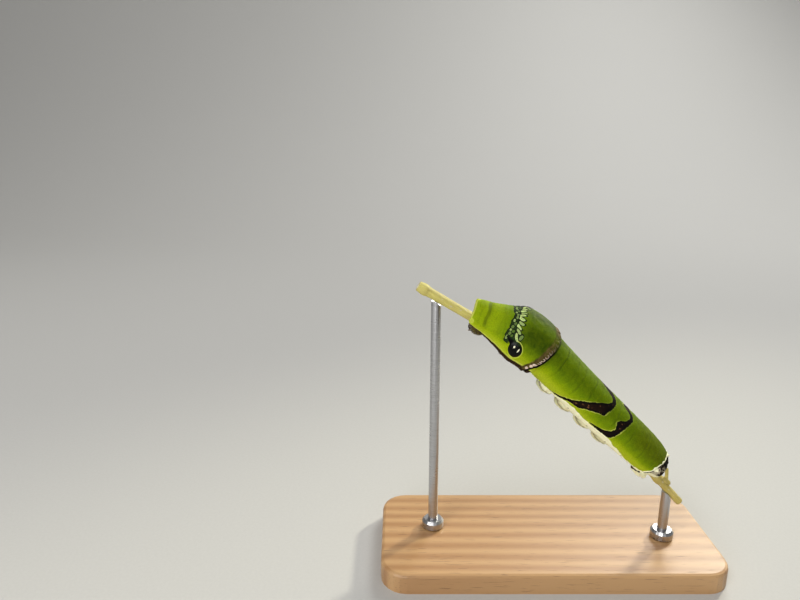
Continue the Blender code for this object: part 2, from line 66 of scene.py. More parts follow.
# Distance along, half width, height of the back over the axis, depth of the belly under it
PROFILE = (
    (0.0, 2.30, 1.00, 0.70), (0.35, 2.68, 1.35, 0.80), (2.6, 3.15, 2.10, 1.35), (5.4, 3.95, 3.20, 2.30),
    (9.8, 5.30, 4.70, 3.45), (12.5, 5.20, 4.65, 3.60), (14.9, 4.80, 4.25, 3.45), (15.5, 4.35, 3.90, 3.15),
    (20.2, 4.25, 3.80, 3.05), (28.2, 4.20, 3.75, 3.00), (37.5, 4.00, 3.50, 2.90), (42.2, 3.85, 3.20, 2.70),
    (45.6, 3.50, 2.75, 2.35), (47.1, 3.05, 2.30, 2.00), (48.5, 2.35, 1.60, 1.45), (48.8, 1.75, 1.05, 0.95),
)
SPINE_SLOPE = ((0.0, 27.0), (8.7, 29.0), (15.2, 45.0), (21.2, 46.0), (33.2, 43.0), (48.8, 42.0))
BODY_ROLL = 47.0
BACK_FULLNESS = 2.2
BELLY_FULLNESS = 2.5
SHIELD_OVERHANG = ((0.0, 0.16), (15.1, 0.12), (15.5, 0.05), (43.2, 0.05), (48.8, 0.16))
BELLY_SWEEP = ((0.0, 0.4), (2.6, 1.9), (5.4, 0.75), (9.8, 0.15), (12.2, 0.0), (48.8, 0.0))
# Distance along, drop of the stem's centre under the axis, its offset to the larva's right
STEM_TRACK = (
    (-0.8, 5.75, 2.40), (2.7, 5.70, 2.05), (8.2, 5.25, 0.75), (16.2, 4.70, 0.05), (28.2, 4.30, 0.0),
    (40.2, 3.90, 0.0), (48.2, 3.35, 0.0),
)
STEM_RADIUS = ((-11.8, 0.95), (10.2, 0.85), (48.2, 0.80), (56.2, 0.76))
STEM_FRONT_LENGTH = 9.6
STEM_FRONT_SLOPE = 30.5
STEM_REAR_LENGTH = 10.6
STEM_REAR_SLOPE = 47.0
STEM_STEP = 1.3
STEM_NODES = (-8.6, 51.6)
STEM_SIDES = 72
STEM_SPACING = 0.16
PORE_COUNT = 150
STUB_PLACE = 52.0
STUB_LENGTH = 3.2
BASE_HEIGHT = 4.0
REAR_CLEARANCE = 8.0

# Level of the head: along, up, half depth, half width; the first lies inside the first segment
HEAD_LEVELS = (
    (2.60, -1.20, 0.75, 1.05), (2.85, -2.05, 1.55, 2.02), (2.95, -2.75, 1.68, 2.20),
    (2.92, -3.45, 1.58, 2.08), (2.80, -4.10, 1.25, 1.68), (2.65, -4.60, 0.78, 1.10),
    (2.60, -4.83, 0.25, 0.35),
)
# Level and turn of each bead eye, and its radius and height
BEAD_EYES = ((3.55, 96), (3.78, 112), (4.02, 121), (4.28, 122), (4.46, 112), (4.22, 98))
BEAD_SIZE = (0.095, 0.085)
BEAD_RIM_SIZE = (0.135, 0.045)
# Pair number, place along, length; radii at the two ends of hip, thigh, shin and foot
TRUE_LEGS = ((1, 2.32, 1.8), (2, 4.75, 2.0), (3, 8.15, 2.1))
LEG_ROOT_ANGLE = -66.0
LEG_RADII = ((0.50, 0.44), (0.42, 0.38), (0.33, 0.27), (0.23, 0.15))
# Abdomen segments 3 to 6 carry prolegs, and the last segment carries the tail's pair
PROLEG_PLACES = tuple(SEGMENT_ENDS[k - 1] + 0.55 * SEGMENT_LENGTHS[k] for k in (5, 6, 7, 8))
PROLEG_SLIMNESS = ((20.4, 1.0), (40.4, 0.86))
# Levels of a proleg: shift along, left, up, half length, half thickness, lean of the thickness
PROLEG_LEVELS = (
    (0.0, 2.10, -1.50, 1.20, 0.70, 45.0), (0.0, 2.98, -2.70, 1.62, 1.05, 40.0),
    (0.05, 2.72, -3.40, 1.68, 0.86, 18.0), (0.05, 2.40, -4.05, 1.40, 0.76, -5.0),
)
PROLEG_SOLES = ((0.0, 0.62, -0.25, 1.15, 0.52, -30.0),)
PROLEG_TIP = (0.0, 0.42, -0.72)
ANAL_PROLEG_PLACE = 45.9
ANAL_PROLEG_LEVELS = (
    (0.0, 1.90, -1.20, 1.30, 0.60, 45.0), (0.05, 2.72, -2.15, 1.85, 0.95, 40.0),
    (0.10, 2.66, -2.80, 1.95, 0.85, 18.0),
)
ANAL_PROLEG_SOLES = ((0.25, 0.95, 0.15, 1.60, 0.72, -12.0), (0.30, 0.60, -0.35, 1.10, 0.50, -30.0))
ANAL_PROLEG_TIP = (0.30, 0.42, -0.78)
SOLE_GAP = 0.22
# A hook's line from its root, over its size, and the two sizes that take turns
HOOK_LINE = ((0.0, 0.0, 0.0), (0.0, -0.35, -0.75), (0.0, -0.95, -0.70), (0.0, -1.10, -0.20))
HOOK_SIZES = (0.18, 0.24)
HAIR_RADIUS = 0.011
HAIR_SWAY = 0.3
# Parts of the amount of hairs that go to the head, to the sides and to each pair of prolegs
HEAD_HAIRS, SIDE_HAIRS, PROLEG_HAIRS = 0.2, 0.45, 0.07

# Markings as rows of (flank, along); the flank is about 90 at the shield's edge, and the markings of both
# sides meet a little beyond the middle of the back
PATTERN_MIDDLE = -10.0
LACE_FRONT = ((-10, 6.35), (0, 6.25), (25, 6.12), (45, 6.10), (62, 6.30))
LACE_REAR = ((-10, 8.35), (0, 8.20), (15, 8.15), (30, 8.80), (45, 9.10), (60, 9.50))
COLLAR_LINE = ((-10, 14.66), (0, 14.62), (30, 14.28), (50, 14.08), (70, 13.75), (90, 13.35), (120, 13.2))
BAND_1_FRONT = (
    (-10, 30.30), (-5, 30.25), (0, 29.95), (5, 29.45), (10, 28.85), (19, 28.0), (29, 27.0), (40, 26.0),
    (52, 25.0), (65, 24.0), (77, 23.0), (87, 22.0), (95, 20.6),
)
BAND_1_REAR = (
    (-10, 31.38), (0, 31.15), (10, 30.9), (20, 30.6), (30, 30.4), (36, 30.2), (41, 29.1), (48, 28.3),
    (54, 27.5), (60, 26.8), (70, 26.0), (77, 24.2), (87, 23.0), (95, 21.6),
)
BAND_2_FRONT = (
    (-10, 35.35), (0, 35.0), (5, 34.6), (10, 34.1), (14, 33.6), (18, 33.3), (25, 33.2), (32, 33.5),
    (42, 33.75), (50, 33.6), (60, 33.0), (68, 32.0), (73, 31.0), (77, 29.9), (82, 29.5),
)
BAND_2_REAR = (
    (-10, 36.20), (0, 35.95), (20, 35.35), (35, 35.1), (50, 34.9), (68, 34.65), (76, 34.3), (80, 32.0),
    (82, 30.5),
)
# Flank angles where the markings end at the foot
LACE_FOOT, BAND_1_FOOT, BAND_2_FOOT = 60.0, 95.5, 79.5
# Place along and flank angle of the upper edge of the white side
WHITE_TOP = (
    (15.2, 122), (19.0, 118), (20.3, 104), (21.5, 94), (23.0, 88), (24.6, 82), (26.5, 82), (28.5, 84),
    (30.5, 82), (32.5, 79), (34.5, 77), (36.0, 83), (38.0, 88), (40.0, 93), (42.0, 97), (44.0, 94),
    (45.2, 88), (48.8, 86),
)
TAIL_LINE = (
    (-110, 45.3), (-85, 45.9), (-65, 46.8), (-50, 47.2), (-30, 47.1), (-10, 46.8), (0, 46.65), (15, 46.3),
    (30, 45.9), (45, 45.6), (60, 45.5), (75, 45.2), (90, 44.95), (97, 44.85), (119, 44.9), (124, 44.6),
    (129, 44.3), (137, 43.98), (145, 43.75),
)
# Place along, flank, half length and half height of the eyespot; the dark neck that joins it to the lace
# band, as two ends of (along, up round the back, half width) from the spot's middle
EYESPOT = (8.85, 62.5, 1.26, 1.62)
EYESPOT_NECK = ((-0.45, 0.75, 0.82), (-2.15, 1.36, 0.24))
EYE_GLINTS = ((-0.42, 0.52, 0.17, 0.27), (0.48, 0.34, 0.13, 0.47))
# Cells of the lace band: place along, flank, half length, half width, tilt, paleness
LACE_CELLS = (
    (7.66, -5.5, 0.66, 0.28, 0.42, 1.00), (7.84, 3.4, 0.58, 0.25, 0.30, 0.55),
    (7.64, 12.0, 0.66, 0.28, 0.72, 0.95), (7.86, 21.4, 0.66, 0.29, 0.85, 0.60),
    (8.62, 31.0, 0.30, 0.60, 0.15, 0.22), (7.98, 36.0, 1.05, 0.25, 1.00, 0.85),
    (6.98, -7.0, 0.26, 0.34, 0.30, 0.22), (6.62, 1.2, 0.20, 0.26, 0.00, 0.55),
    (6.98, 7.6, 0.26, 0.34, 0.50, 0.08), (6.70, 15.8, 0.24, 0.36, 0.30, 0.16),
    (6.58, 24.0, 0.19, 0.26, 0.00, 0.60), (7.08, 25.6, 0.24, 0.34, 0.50, 0.02),
    (6.68, 33.4, 0.24, 0.40, 0.20, 0.16), (7.16, 36.5, 0.20, 0.32, 0.40, 0.02),
    (6.50, 45.5, 0.20, 0.52, 0.00, 0.42),
)
# Soft folds across the back, dented in the skin and darkened with painted shade: place along, half width,
# strength, how far down the flank, how broken
FOLDS = (
    (2.32, 0.32, 1.02, 54, 0.10), (2.75, 0.20, 0.30, 84, 0.3), (1.15, 0.20, 0.30, 60, 0.5),
    (4.90, 0.22, 0.25, 50, 0.5), (17.95, 0.20, 0.50, 38, 0.5), (20.85, 0.16, 0.35, 34, 0.5),
    (22.9, 0.12, 0.25, 60, 0.5), (25.75, 0.17, 0.55, 36, 0.5), (32.9, 0.14, 0.25, 60, 0.5),
    (37.5, 0.14, 0.20, 60, 0.5), (41.3, 0.14, 0.20, 60, 0.5),
)
# Corner points of the first segment's rim and of the tail, the tail's from its white line: place along and
# rise over the surface at root and tip, flank, root radius and tip radius
RIM_POINT = ((0.60, -0.50), (-0.02, -0.02), 68.0, 0.42, 0.28)
TAIL_POINT = ((0.20, -0.55), (1.05, 0.32), 50.0, 0.48, 0.22)
# Breathing holes: flank angle, and half size along and round the body
SPIRACLE_FLANK = 97.0
SPIRACLE_SIZE = (0.16, 0.28)
# Horn and joint skin of the small parts: light and dark colour, roughness, size of the patches
HORNS = {
    "leg_shell": ("leg_brown", "head_brown", 0.30, 0.4), "dark_horn": ("leg_brown", "band_black", 0.22, 0.2),
    "joint_skin": ("leg_grey", "side_white", 0.45, 0.3), "eye_bead": ("eye_black", "band_brown", 0.06, 0.15),
    "pale_bristle": ("collar_pale", "leg_grey", 0.40, 0.5),
}


def through(rows, place, column=1):
    """Read a smooth curve through rows of (place, values...), with no overshoot, flat past both ends."""
    xs = np.array([row[0] for row in rows], float)
    ys = np.array([row[column] for row in rows], float)
    widths = np.diff(xs)
    rises = np.diff(ys) / widths
    tangents = np.zeros(len(xs))
    for i in range(1, len(xs) - 1):
        before, after = rises[i - 1], rises[i]
        if before * after > 0:
            near, far = 2 * widths[i] + widths[i - 1], widths[i] + 2 * widths[i - 1]
            tangents[i] = (near + far) / (near / before + far / after)
    tangents[0], tangents[-1] = rises[0], rises[-1]
    at = np.clip(np.asarray(place, float), xs[0], xs[-1])
    i = np.clip(np.searchsorted(xs, at, side="right") - 1, 0, len(widths) - 1)
    t = (at - xs[i]) / widths[i]
    start = ys[i] * (1 + 2 * t) * (1 - t) ** 2 + widths[i] * tangents[i] * t * (1 - t) ** 2
    end = ys[i + 1] * t * t * (3 - 2 * t) + widths[i] * tangents[i + 1] * t * t * (t - 1)
    return start + end


def ease(value, low, high):
    """Rise smoothly from 0 at low to 1 at high."""
    t = np.clip((value - low) / (high - low), 0.0, 1.0)
    return t * t * (3 - 2 * t)


def bump(value, centre, width):
    """A smooth bump of height 1."""
    return np.exp(-(((value - centre) / width) ** 2))


def unit(line):
    """A direction of length 1."""
    return line / np.linalg.norm(line)


def columns(rows, at):
    """Every column of rows, read at places between their numbers."""
    numbered = [(k, *row) for k, row in enumerate(rows)]
    return [through(numbered, at, k + 1) for k in range(len(rows[0]))]


def ripple(points, size, seed, waves=14):
    """Smooth seeded noise about -1 to 1 at points, with features of the given size."""
    rng = np.random.default_rng(seed)
    lines = rng.normal(size=(waves, points.shape[1]))
    lines /= np.linalg.norm(lines, axis=1)[:, None]
    lines *= (2 * math.pi / size) * rng.uniform(0.6, 1.4, (waves, 1))
    phases = rng.uniform(0, 2 * math.pi, waves)
    total = np.zeros(len(points))
    for line, phase in zip(lines, phases):
        total += np.cos(points @ line + phase)
    return total * (1.4 / math.sqrt(waves)) / math.sqrt(2)


def patchy(first, second, size, seed):
    """Smooth seeded noise over two coordinates."""
    return ripple(np.stack([first, second], axis=1), size, seed)


class Spine:
    """The body's axis in the row frame in millimetres, and the way to and from body coordinates."""

    # Spacing of the axis's points, how many points are placed at once, and how far past its ends
    STEP, BATCH, BEYOND = 0.1, 20000, 4.0

    def __init__(self, start):
        self.places = np.arange(int(round(BODY_LENGTH / self.STEP)) + 2) * self.STEP
        slopes = np.radians(through(SPINE_SLOPE, self.places))
        steps = np.stack([np.cos(slopes), np.zeros(len(slopes)), -np.sin(slopes)], axis=1) * self.STEP
        self.points = np.vstack([np.zeros(3), np.cumsum(steps, axis=0)])[:-1] + np.array(start)

    def centre(self, along):
        """Points of the axis, straight on past its ends."""
        inside = np.clip(along, 0.0, BODY_LENGTH)
        middle = np.stack([np.interp(inside, self.places, self.points[:, k]) for k in range(3)], axis=-1)
        return middle + self.directions(along)[0] * (along - inside)[..., None]

    def directions(self, along):
        """The body's back, left and up directions at places along it."""
        slope = np.radians(through(SPINE_SLOPE, along))
        roll = math.radians(BODY_ROLL)
        none = np.zeros_like(slope)
        back = np.stack([np.cos(slope), none, -np.sin(slope)], axis=-1)
        rise = np.stack([np.sin(slope), none, np.cos(slope)], axis=-1)
        towards = np.array((0.0, -1.0, 0.0))
        return (
            back, math.cos(roll) * towards - math.sin(roll) * rise,
            math.cos(roll) * rise + math.sin(roll) * towards,
        )

    def place(self, points):
        """Body coordinates to the row frame."""
        points = np.asarray(points, float)
        _, left, up = self.directions(points[..., 0])
        return self.centre(points[..., 0]) + left * points[..., 1:2] + up * points[..., 2:3]

    def locate(self, points):
        """The row frame to body coordinates."""
        coarse = self.points[::10]
        along = np.empty(len(points))
        for k in range(0, len(points), self.BATCH):
            apart = ((points[k : k + self.BATCH, None, :] - coarse[None]) ** 2).sum(axis=2)
            along[k : k + self.BATCH] = self.places[::10][apart.argmin(axis=1)]
        for _ in range(8):
            along += ((points - self.centre(along)) * self.directions(along)[0]).sum(axis=1)
            along = np.clip(along, -self.BEYOND, BODY_LENGTH + self.BEYOND)
        off = points - self.centre(along)
        _, left, up = self.directions(along)
        return np.stack([along, (off * left).sum(axis=1), (off * up).sum(axis=1)], axis=1)


def skin(along, angle, proud=0.0):
    """Points of the body's surface in body coordinates; 0 is the left side, 90 the middle of the back."""
    along, angle = np.broadcast_arrays(np.asarray(along, float), np.asarray(angle, float))
    c, s = np.cos(np.radians(angle)), np.sin(np.radians(angle))
    width, back, belly = (through(PROFILE, along, column) for column in (1, 2, 3))
    fullness = np.where(s >= 0, BACK_FULLNESS, BELLY_FULLNESS)
    height = np.where(s >= 0, back, belly)
    left = np.sign(c) * np.abs(c) ** (2 / fullness) * (width + proud)
    up = np.sign(s) * np.abs(s) ** (2 / fullness) * (height + proud)
    left = left * np.where(s < 0, 1 - through(SHIELD_OVERHANG, along) * ease(-s, 0.08, 0.38), 1.0)
    return np.stack([along + through(BELLY_SWEEP, along) * np.maximum(-up, 0.0), left, up], axis=-1)


def surface_coordinates(points):
    """Distance along and flank angle for points in body coordinates."""
    reach, left, up = points[:, 0], np.abs(points[:, 1]), points[:, 2]
    drop = np.maximum(-up, 0.0)
    low, high = reach - 12.0, reach + 0.001
    for _ in range(26):
        middle = (low + high) / 2
        over = middle + through(BELLY_SWEEP, middle) * drop > reach
        high = np.where(over, middle, high)
        low = np.where(over, low, middle)
    along = np.where(drop > 0, (low + high) / 2, reach)
    width, back, belly = (through(PROFILE, along, column) for column in (1, 2, 3))
    fullness = np.where(up >= 0, BACK_FULLNESS, BELLY_FULLNESS)
    height = np.where(up >= 0, back, belly)
    rise = np.sign(up) * (np.abs(up) / height) ** (fullness / 2)
    out = (left / width) ** (fullness / 2)
    return along, 90.0 - np.degrees(np.arctan2(rise, out))


def stem_below(along):
    """Centre of the stem in body coordinates."""
    along = np.asarray(along, float)
    return np.stack([along, -through(STEM_TRACK, along, 2), -through(STEM_TRACK, along, 1)], axis=-1)


def stem_path(spine):
    """Distance along and centre of the stem from its front cut to its rear cut."""
    first, last = STEM_TRACK[0][0], STEM_TRACK[-1][0]
    count = int(round((last - first) / STEM_STEP))
    middle = first + (last - first) * np.arange(count + 1) / count
    points = list(spine.place(stem_below(middle)))
    alongs = list(middle)
    lead = points[0] - points[1]
    lead_slope = math.degrees(math.atan2(lead[2], -lead[0]))
    drift = lead[1] / np.linalg.norm(lead)
    walked, point = 0.0, points[0]
    while walked < STEM_FRONT_LENGTH - STEM_STEP / 2:
        walked += STEM_STEP
        slope = math.radians(lead_slope + (STEM_FRONT_SLOPE - lead_slope) * float(ease(walked, 0.0, 5.0)))
        point = point + STEM_STEP * np.array((-math.cos(slope), drift * 0.5, math.sin(slope)))
        points.insert(0, point)
        alongs.insert(0, first - walked)
    tail = points[-1] - points[-2]
    tail_slope = math.degrees(math.atan2(-tail[2], tail[0]))
    walked, point = 0.0, points[-1]
    while walked < STEM_REAR_LENGTH - STEM_STEP / 2:
        walked += STEM_STEP
        slope = math.radians(tail_slope + (STEM_REAR_SLOPE - tail_slope) * float(ease(walked, 0.0, 3.0)))
        point = point + STEM_STEP * np.array((math.cos(slope), 0.0, -math.sin(slope)))
        points.append(point)
        alongs.append(last + walked)
    return np.array(alongs), np.array(points)


def resting_start():
    """Where the axis starts, so that the stem's rear cut clears the base and both ends are evenly spaced."""
    _, points = stem_path(Spine((0.0, 0.0, 0.0)))
    middle = (points[0] + points[-1]) / 2
    return (-middle[0], -middle[1], BASE_HEIGHT + REAR_CLEARANCE - points[-1][2])


SPINE = Spine(resting_start())


def srgb(red, green, blue):
    """A colour given as 0 to 255 on a screen, as linear light."""
    parts = [value / 255 for value in (red, green, blue)]
    return tuple(p / 12.92 if p <= 0.04045 else ((p + 0.055) / 1.055) ** 2.4 for p in parts)


def lofted(rings, start, end):
    """Points and faces of a closed round form through rings of points, ended by a fan at each end."""
    rings = np.asarray(rings, float)
    rows, sides = rings.shape[:2]
    points = np.vstack([rings.reshape(-1, 3), [start, end]])
    grid = np.arange(rows * sides).reshape(rows, sides)
    near, far = grid[:-1], grid[1:]
    quads = np.stack([near, np.roll(near, -1, 1), np.roll(far, -1, 1), far], axis=-1).reshape(-1, 4)
    faces = quads.tolist()
    first, last = rows * sides, rows * sides + 1
    for i in range(sides):
        j = (i + 1) % sides
        faces.append((first, int(grid[0, j]), int(grid[0, i])))
        faces.append((last, int(grid[-1, i]), int(grid[-1, j])))
    return points, faces


def joined(forms):
    """Several sets of points and faces as one."""
    points, faces, count = [], [], 0
    for form_points, form_faces in forms:
        points.append(np.asarray(form_points, float))
        faces.extend(tuple(index + count for index in face) for face in form_faces)
        count += len(form_points)
    return np.vstack(points), faces


def placed(name, data, place=(0.0, 0.0, 0.0), turn=(0.0, 0.0, 0.0)):
    """A new object of the scene."""
    made = bpy.data.objects.new(name, data)
    made.location, made.rotation_euler = place, turn
    bpy.context.scene.collection.objects.link(made)
    return made


def keep_values(mesh, values):
    """Keep named numbers at each point of a mesh, for its material."""
    for name, value in values.items():
        kept = mesh.attributes.new(name, "FLOAT", "POINT")
        kept.data.foreach_set("value", value.astype(np.float32))


def make_object(name, points, faces, material, crease=60.0):
    """A smooth object from points in millimetres of the row frame."""
    mesh = bpy.data.meshes.new(name)
    mesh.from_pydata((np.asarray(points) * MM).tolist(), [], faces)
    bm = bmesh.new()
    bm.from_mesh(mesh)
    bmesh.ops.recalc_face_normals(bm, faces=bm.faces)
    bm.to_mesh(mesh)
    bm.free()
    mesh.shade_smooth()
    mesh.set_sharp_from_angle(angle=math.radians(crease))
    mesh.materials.append(material)
    return placed(name, mesh)


def around(centre, axis, radius, sides, squash=1.0):
    """A ring of points round an axis."""
    axis = unit(np.asarray(axis, float))
    side = unit(np.cross(axis, (0.0, 1.0, 0.0) if abs(axis[1]) < 0.9 else (1.0, 0.0, 0.0)))
    across = np.cross(axis, side)
    a = 2 * math.pi * np.arange(sides) / sides
    return centre + radius * (np.cos(a)[:, None] * side + squash * np.sin(a)[:, None] * across)


def swept(path, radii, sides, squash=1.0):
    """A closed round form along a path of points."""
    path = np.asarray(path, float)
    lines = np.gradient(path, axis=0)
    rings = [around(path[i], lines[i], radii[i], sides, squash) for i in range(len(path))]
    start = path[0] - unit(lines[0]) * radii[0] * CAP_HEIGHT
    return lofted(rings, start, path[-1] + unit(lines[-1]) * radii[-1] * CAP_HEIGHT)


def curved(points, count):
    """Evenly numbered points on a smooth curve through a few points."""
    points = np.asarray(points, float)
    return np.stack(columns(points, np.linspace(0, len(points) - 1, count)), axis=1)


def rod(start, line, length, radii, sides):
    """A short round form along a line, with its radii at start, middle and end."""
    return swept([start, start + line * length * 0.5, start + line * length], radii, sides)


def read_radii(count, places, radii):
    """As many radii as asked for, read between a few places from 0 to 1."""
    return np.interp(np.linspace(0, 1, count), places, radii)


def bead(centre, axis, radius, height, sides=14, rows=6):
    """A low dome that stands on a surface, closed under it."""
    axis = unit(np.asarray(axis, float))
    rings = []
    for k in range(rows):
        a = math.pi / 2 * k / rows
        rings.append(around(centre + axis * height * math.sin(a), axis, radius * math.cos(a), sides))
    return lofted(rings, centre - axis * height * 0.4, centre + axis * height)


class Shader:
    """Adds nodes to a material or a node group and joins them."""

    def __init__(self, tree):
        self.tree = tree
        self.count = 0

    def node(self, kind, inputs=(), **settings):
        """A new node with its inputs, by name or number, and its settings."""
        made = self.tree.nodes.new("ShaderNode" + kind)
        for key, value in settings.items():
            setattr(made, key, value)
        for key, value in dict(inputs).items():
            self.feed(made.inputs[key], value)
        made.location = (self.count // 6 * 220, -(self.count % 6) * 190)
        self.count += 1
        return made

    def feed(self, socket, value):
        """Join an input to another node's output, or set it to a plain value."""
        if isinstance(value, bpy.types.NodeSocket):
            self.tree.links.new(value, socket)
        elif socket.type == "RGBA" and len(value) == 3:
            socket.default_value = (*value, 1.0)
        else:
            socket.default_value = value

    def fill(self, node, **values):
        """Set or join a node's inputs by name."""
        for key, value in values.items():
            self.feed(node.inputs[key.replace("_", " ")], value)
        return node

    def math(self, operation, *numbers, clamp=False):
        return self.node("Math", enumerate(numbers), operation=operation, use_clamp=clamp).outputs[0]

    def times(self, *numbers, clamp=False):
        return self.math("MULTIPLY", *numbers, clamp=clamp)

    def minus(self, first, second):
        return self.math("SUBTRACT", first, second)

    def off(self, first, second):
        """How far a number is from another."""
        return self.math("ABSOLUTE", self.minus(first, second))

    def scaled(self, value, factor, start):
        """The value times the factor, plus the start."""
        return self.math("MULTIPLY_ADD", value, factor, start)

    def mix(self, mask, first, second):
        """The first colour where the mask is 0 and the second where it is 1."""
        return self.node("Mix", {0: mask, 6: first, 7: second}, data_type="RGBA").outputs[2]

    def tint(self, colour, other, mask, amount):
        """A colour with some of another where the mask is 1."""
        return self.mix(self.times(mask, amount), colour, other)

    def between(self, mask, first, second):
        """A number between the first, where the mask is 0, and the second, where it is 1."""
        return self.node("Mix", {0: mask, 2: first, 3: second}, data_type="FLOAT").outputs[0]

    def smooth(self, value, low, high, start=0.0, end=1.0):
        """A number that runs smoothly from start to end while the value runs from low to high."""
        numbers = enumerate((value, low, high, start, end))
        return self.node("MapRange", numbers, interpolation_type="SMOOTHSTEP").outputs[0]

    def held(self, name):
        """A number kept at each point of the mesh."""
        return self.node("Attribute", attribute_type="GEOMETRY", attribute_name=name).outputs["Fac"]

    def place(self, stretch=None):
        """The place on the object, stretched where factors are given."""
        place = self.node("TexCoord").outputs["Object"]
        if stretch is None:
            return place
        return self.node("VectorMath", {0: place, 1: stretch}, operation="MULTIPLY").outputs[0]

    def flat(self, x, y, z=0.0):
        """Numbers put together as one place."""
        return self.node("CombineXYZ", {0: x, 1: y, 2: z}).outputs[0]

    def per_mm(self, size):
        """The scale of a texture whose features have the given size in millimetres."""
        return self.math("DIVIDE", 1.0 / MM, size)

    def noise(self, place, scale, detail, distortion=0.0):
        inputs = {"Vector": place, "Scale": scale, "Detail": detail, "Distortion": distortion}
        return self.node("TexNoise", inputs).outputs["Fac"]

    def bump(self, strength, distance, height):
        return self.node("Bump", {"Strength": strength, "Distance": distance, "Height": height}).outputs[0]

    def group(self, tree, **values):
        made = self.node("Group", node_tree=tree)
        return self.fill(made, **values).outputs[0]

    def mottle(self, size, contrast):
        """Cloudy patches from 0 to 1, with their size in millimetres."""
        return self.group(mottle_group(), Size=size, Contrast=contrast)

    def grain(self, size, height, base=0.0):
        """The normal of a fine uneven surface over a base height."""
        return self.group(grain_group(), Size=size, Height=height, Base=base)

    def mask(self, distance, softness, wave, wave_size):
        """A mask with a wavy edge where a signed distance passes 0."""
        return self.group(edge_group(), Distance=distance, Softness=softness, Wave=wave, Wave_size=wave_size)


def group_once(name, inputs, output, kind, build):
    """A node group with named number inputs and one output, built the first time that it is asked for."""
    tree = bpy.data.node_groups.get(name)
    if tree:
        return tree
    tree = bpy.data.node_groups.new(name, "ShaderNodeTree")
    for socket, default in inputs.items():
        made = tree.interface.new_socket(name=socket, in_out="INPUT", socket_type="NodeSocketFloat")
        made.default_value = default
    tree.interface.new_socket(name=output, in_out="OUTPUT", socket_type=kind)
    shader = Shader(tree)
    given, out = tree.nodes.new("NodeGroupInput"), tree.nodes.new("NodeGroupOutput")
    out.location = (2600, 0)
    shader.feed(out.inputs[output], build(shader, given.outputs))
    return tree


def mottle_group():
    """Cloudy patches from 0 to 1: Size is in millimetres and Contrast draws the two ends apart."""

    def build(shader, given):
        scale = shader.per_mm(given["Size"])
        noise = shader.noise(shader.place(shader.flat(given["Stretch"], 1.0, 1.0)), scale, 4.0)
        reach = shader.scaled(given["Contrast"], -0.24, 0.27)
        low, high = shader.minus(0.5, reach), shader.math("ADD", 0.5, reach)
        return shader.node("MapRange", {0: noise, 1: low, 2: high}).outputs[0]

    inputs = {"Size": 1.0, "Contrast": 0.5, "Stretch": 1.0}
    return group_once("Mottle", inputs, "Value", "NodeSocketFloat", build)


def grain_group():
    """A fine uneven surface: Size is in millimetres, Height is the strength of the bump."""

    def build(shader, given):
        scale = shader.per_mm(given["Size"])
        place = shader.place()
        cells = shader.node(
            "TexVoronoi", {"Vector": place, "Scale": scale}, feature="SMOOTH_F1"
        ).outputs["Distance"]
        noise = shader.noise(place, scale, 5.0)
        height = shader.math("ADD", shader.times(shader.minus(1.0, cells), 0.6), shader.times(noise, 0.5))
        return shader.bump(given["Height"], 0.05 * MM, shader.math("ADD", height, given["Base"]))

    inputs = {"Size": 0.2, "Height": 0.3, "Base": 0.0}
    return group_once("Fine grain", inputs, "Normal", "NodeSocketVector", build)


def edge_group():
    """A mask that rises where a signed distance passes 0, along an edge made wavy by fine noise."""

    def build(shader, given):
        scale = shader.per_mm(given["Wave size"])
        shift = shader.times(shader.minus(shader.noise(shader.place(), scale, 3.0), 0.5), given["Wave"])
        moved = shader.scaled(shift, 2.0, given["Distance"])
        return shader.smooth(moved, shader.times(given["Softness"], -1.0), given["Softness"])

    inputs = {"Distance": 0.0, "Softness": 0.05, "Wave": 0.1, "Wave size": 0.6}
    return group_once("Wavy edge", inputs, "Mask", "NodeSocketFloat", build)


def new_material(name, roughness=0.5, helper=Shader, **plain):
    """A material, its shader helper and its Principled node with plain values set on it."""
    material = bpy.data.materials.new(name)
    material.use_nodes = True
    principled = material.node_tree.nodes["Principled BSDF"]
    principled.location = (2600, 0)
    material.node_tree.nodes["Material Output"].location = (2900, 0)
    principled.inputs["Roughness"].default_value = roughness
    shader = helper(material.node_tree)
    shader.fill(principled, **plain)
    return material, shader, principled


def settings():
    """The model's settings in the sidebar."""
    return bpy.context.scene.larva_model


# Skin of the whole body


def proleg_rows():
    """Place along, rows and tip of each proleg of the left side in body coordinates."""
    kinds = [
        (place, float(through(PROLEG_SLIMNESS, place)), PROLEG_LEVELS, PROLEG_SOLES, PROLEG_TIP)
        for place in PROLEG_PLACES
    ]
    kinds.append((ANAL_PROLEG_PLACE, 1.0, ANAL_PROLEG_LEVELS, ANAL_PROLEG_SOLES, ANAL_PROLEG_TIP))
    made = []
    for place, slim, levels, soles, tip in kinds:
        foot = np.array((place, float(through(STEM_RADIUS, place)) + SOLE_GAP, float(stem_below(place)[2])))
        rows = [
            (place + shift, left * slim, up * (1 + slim) / 2, length, thickness * slim, lean)
            for shift, left, up, length, thickness, lean in levels
        ]
        rows += [(*(foot + sole[:3]), *sole[3:]) for sole in soles]
        made.append((place, rows, foot + tip))
    return made


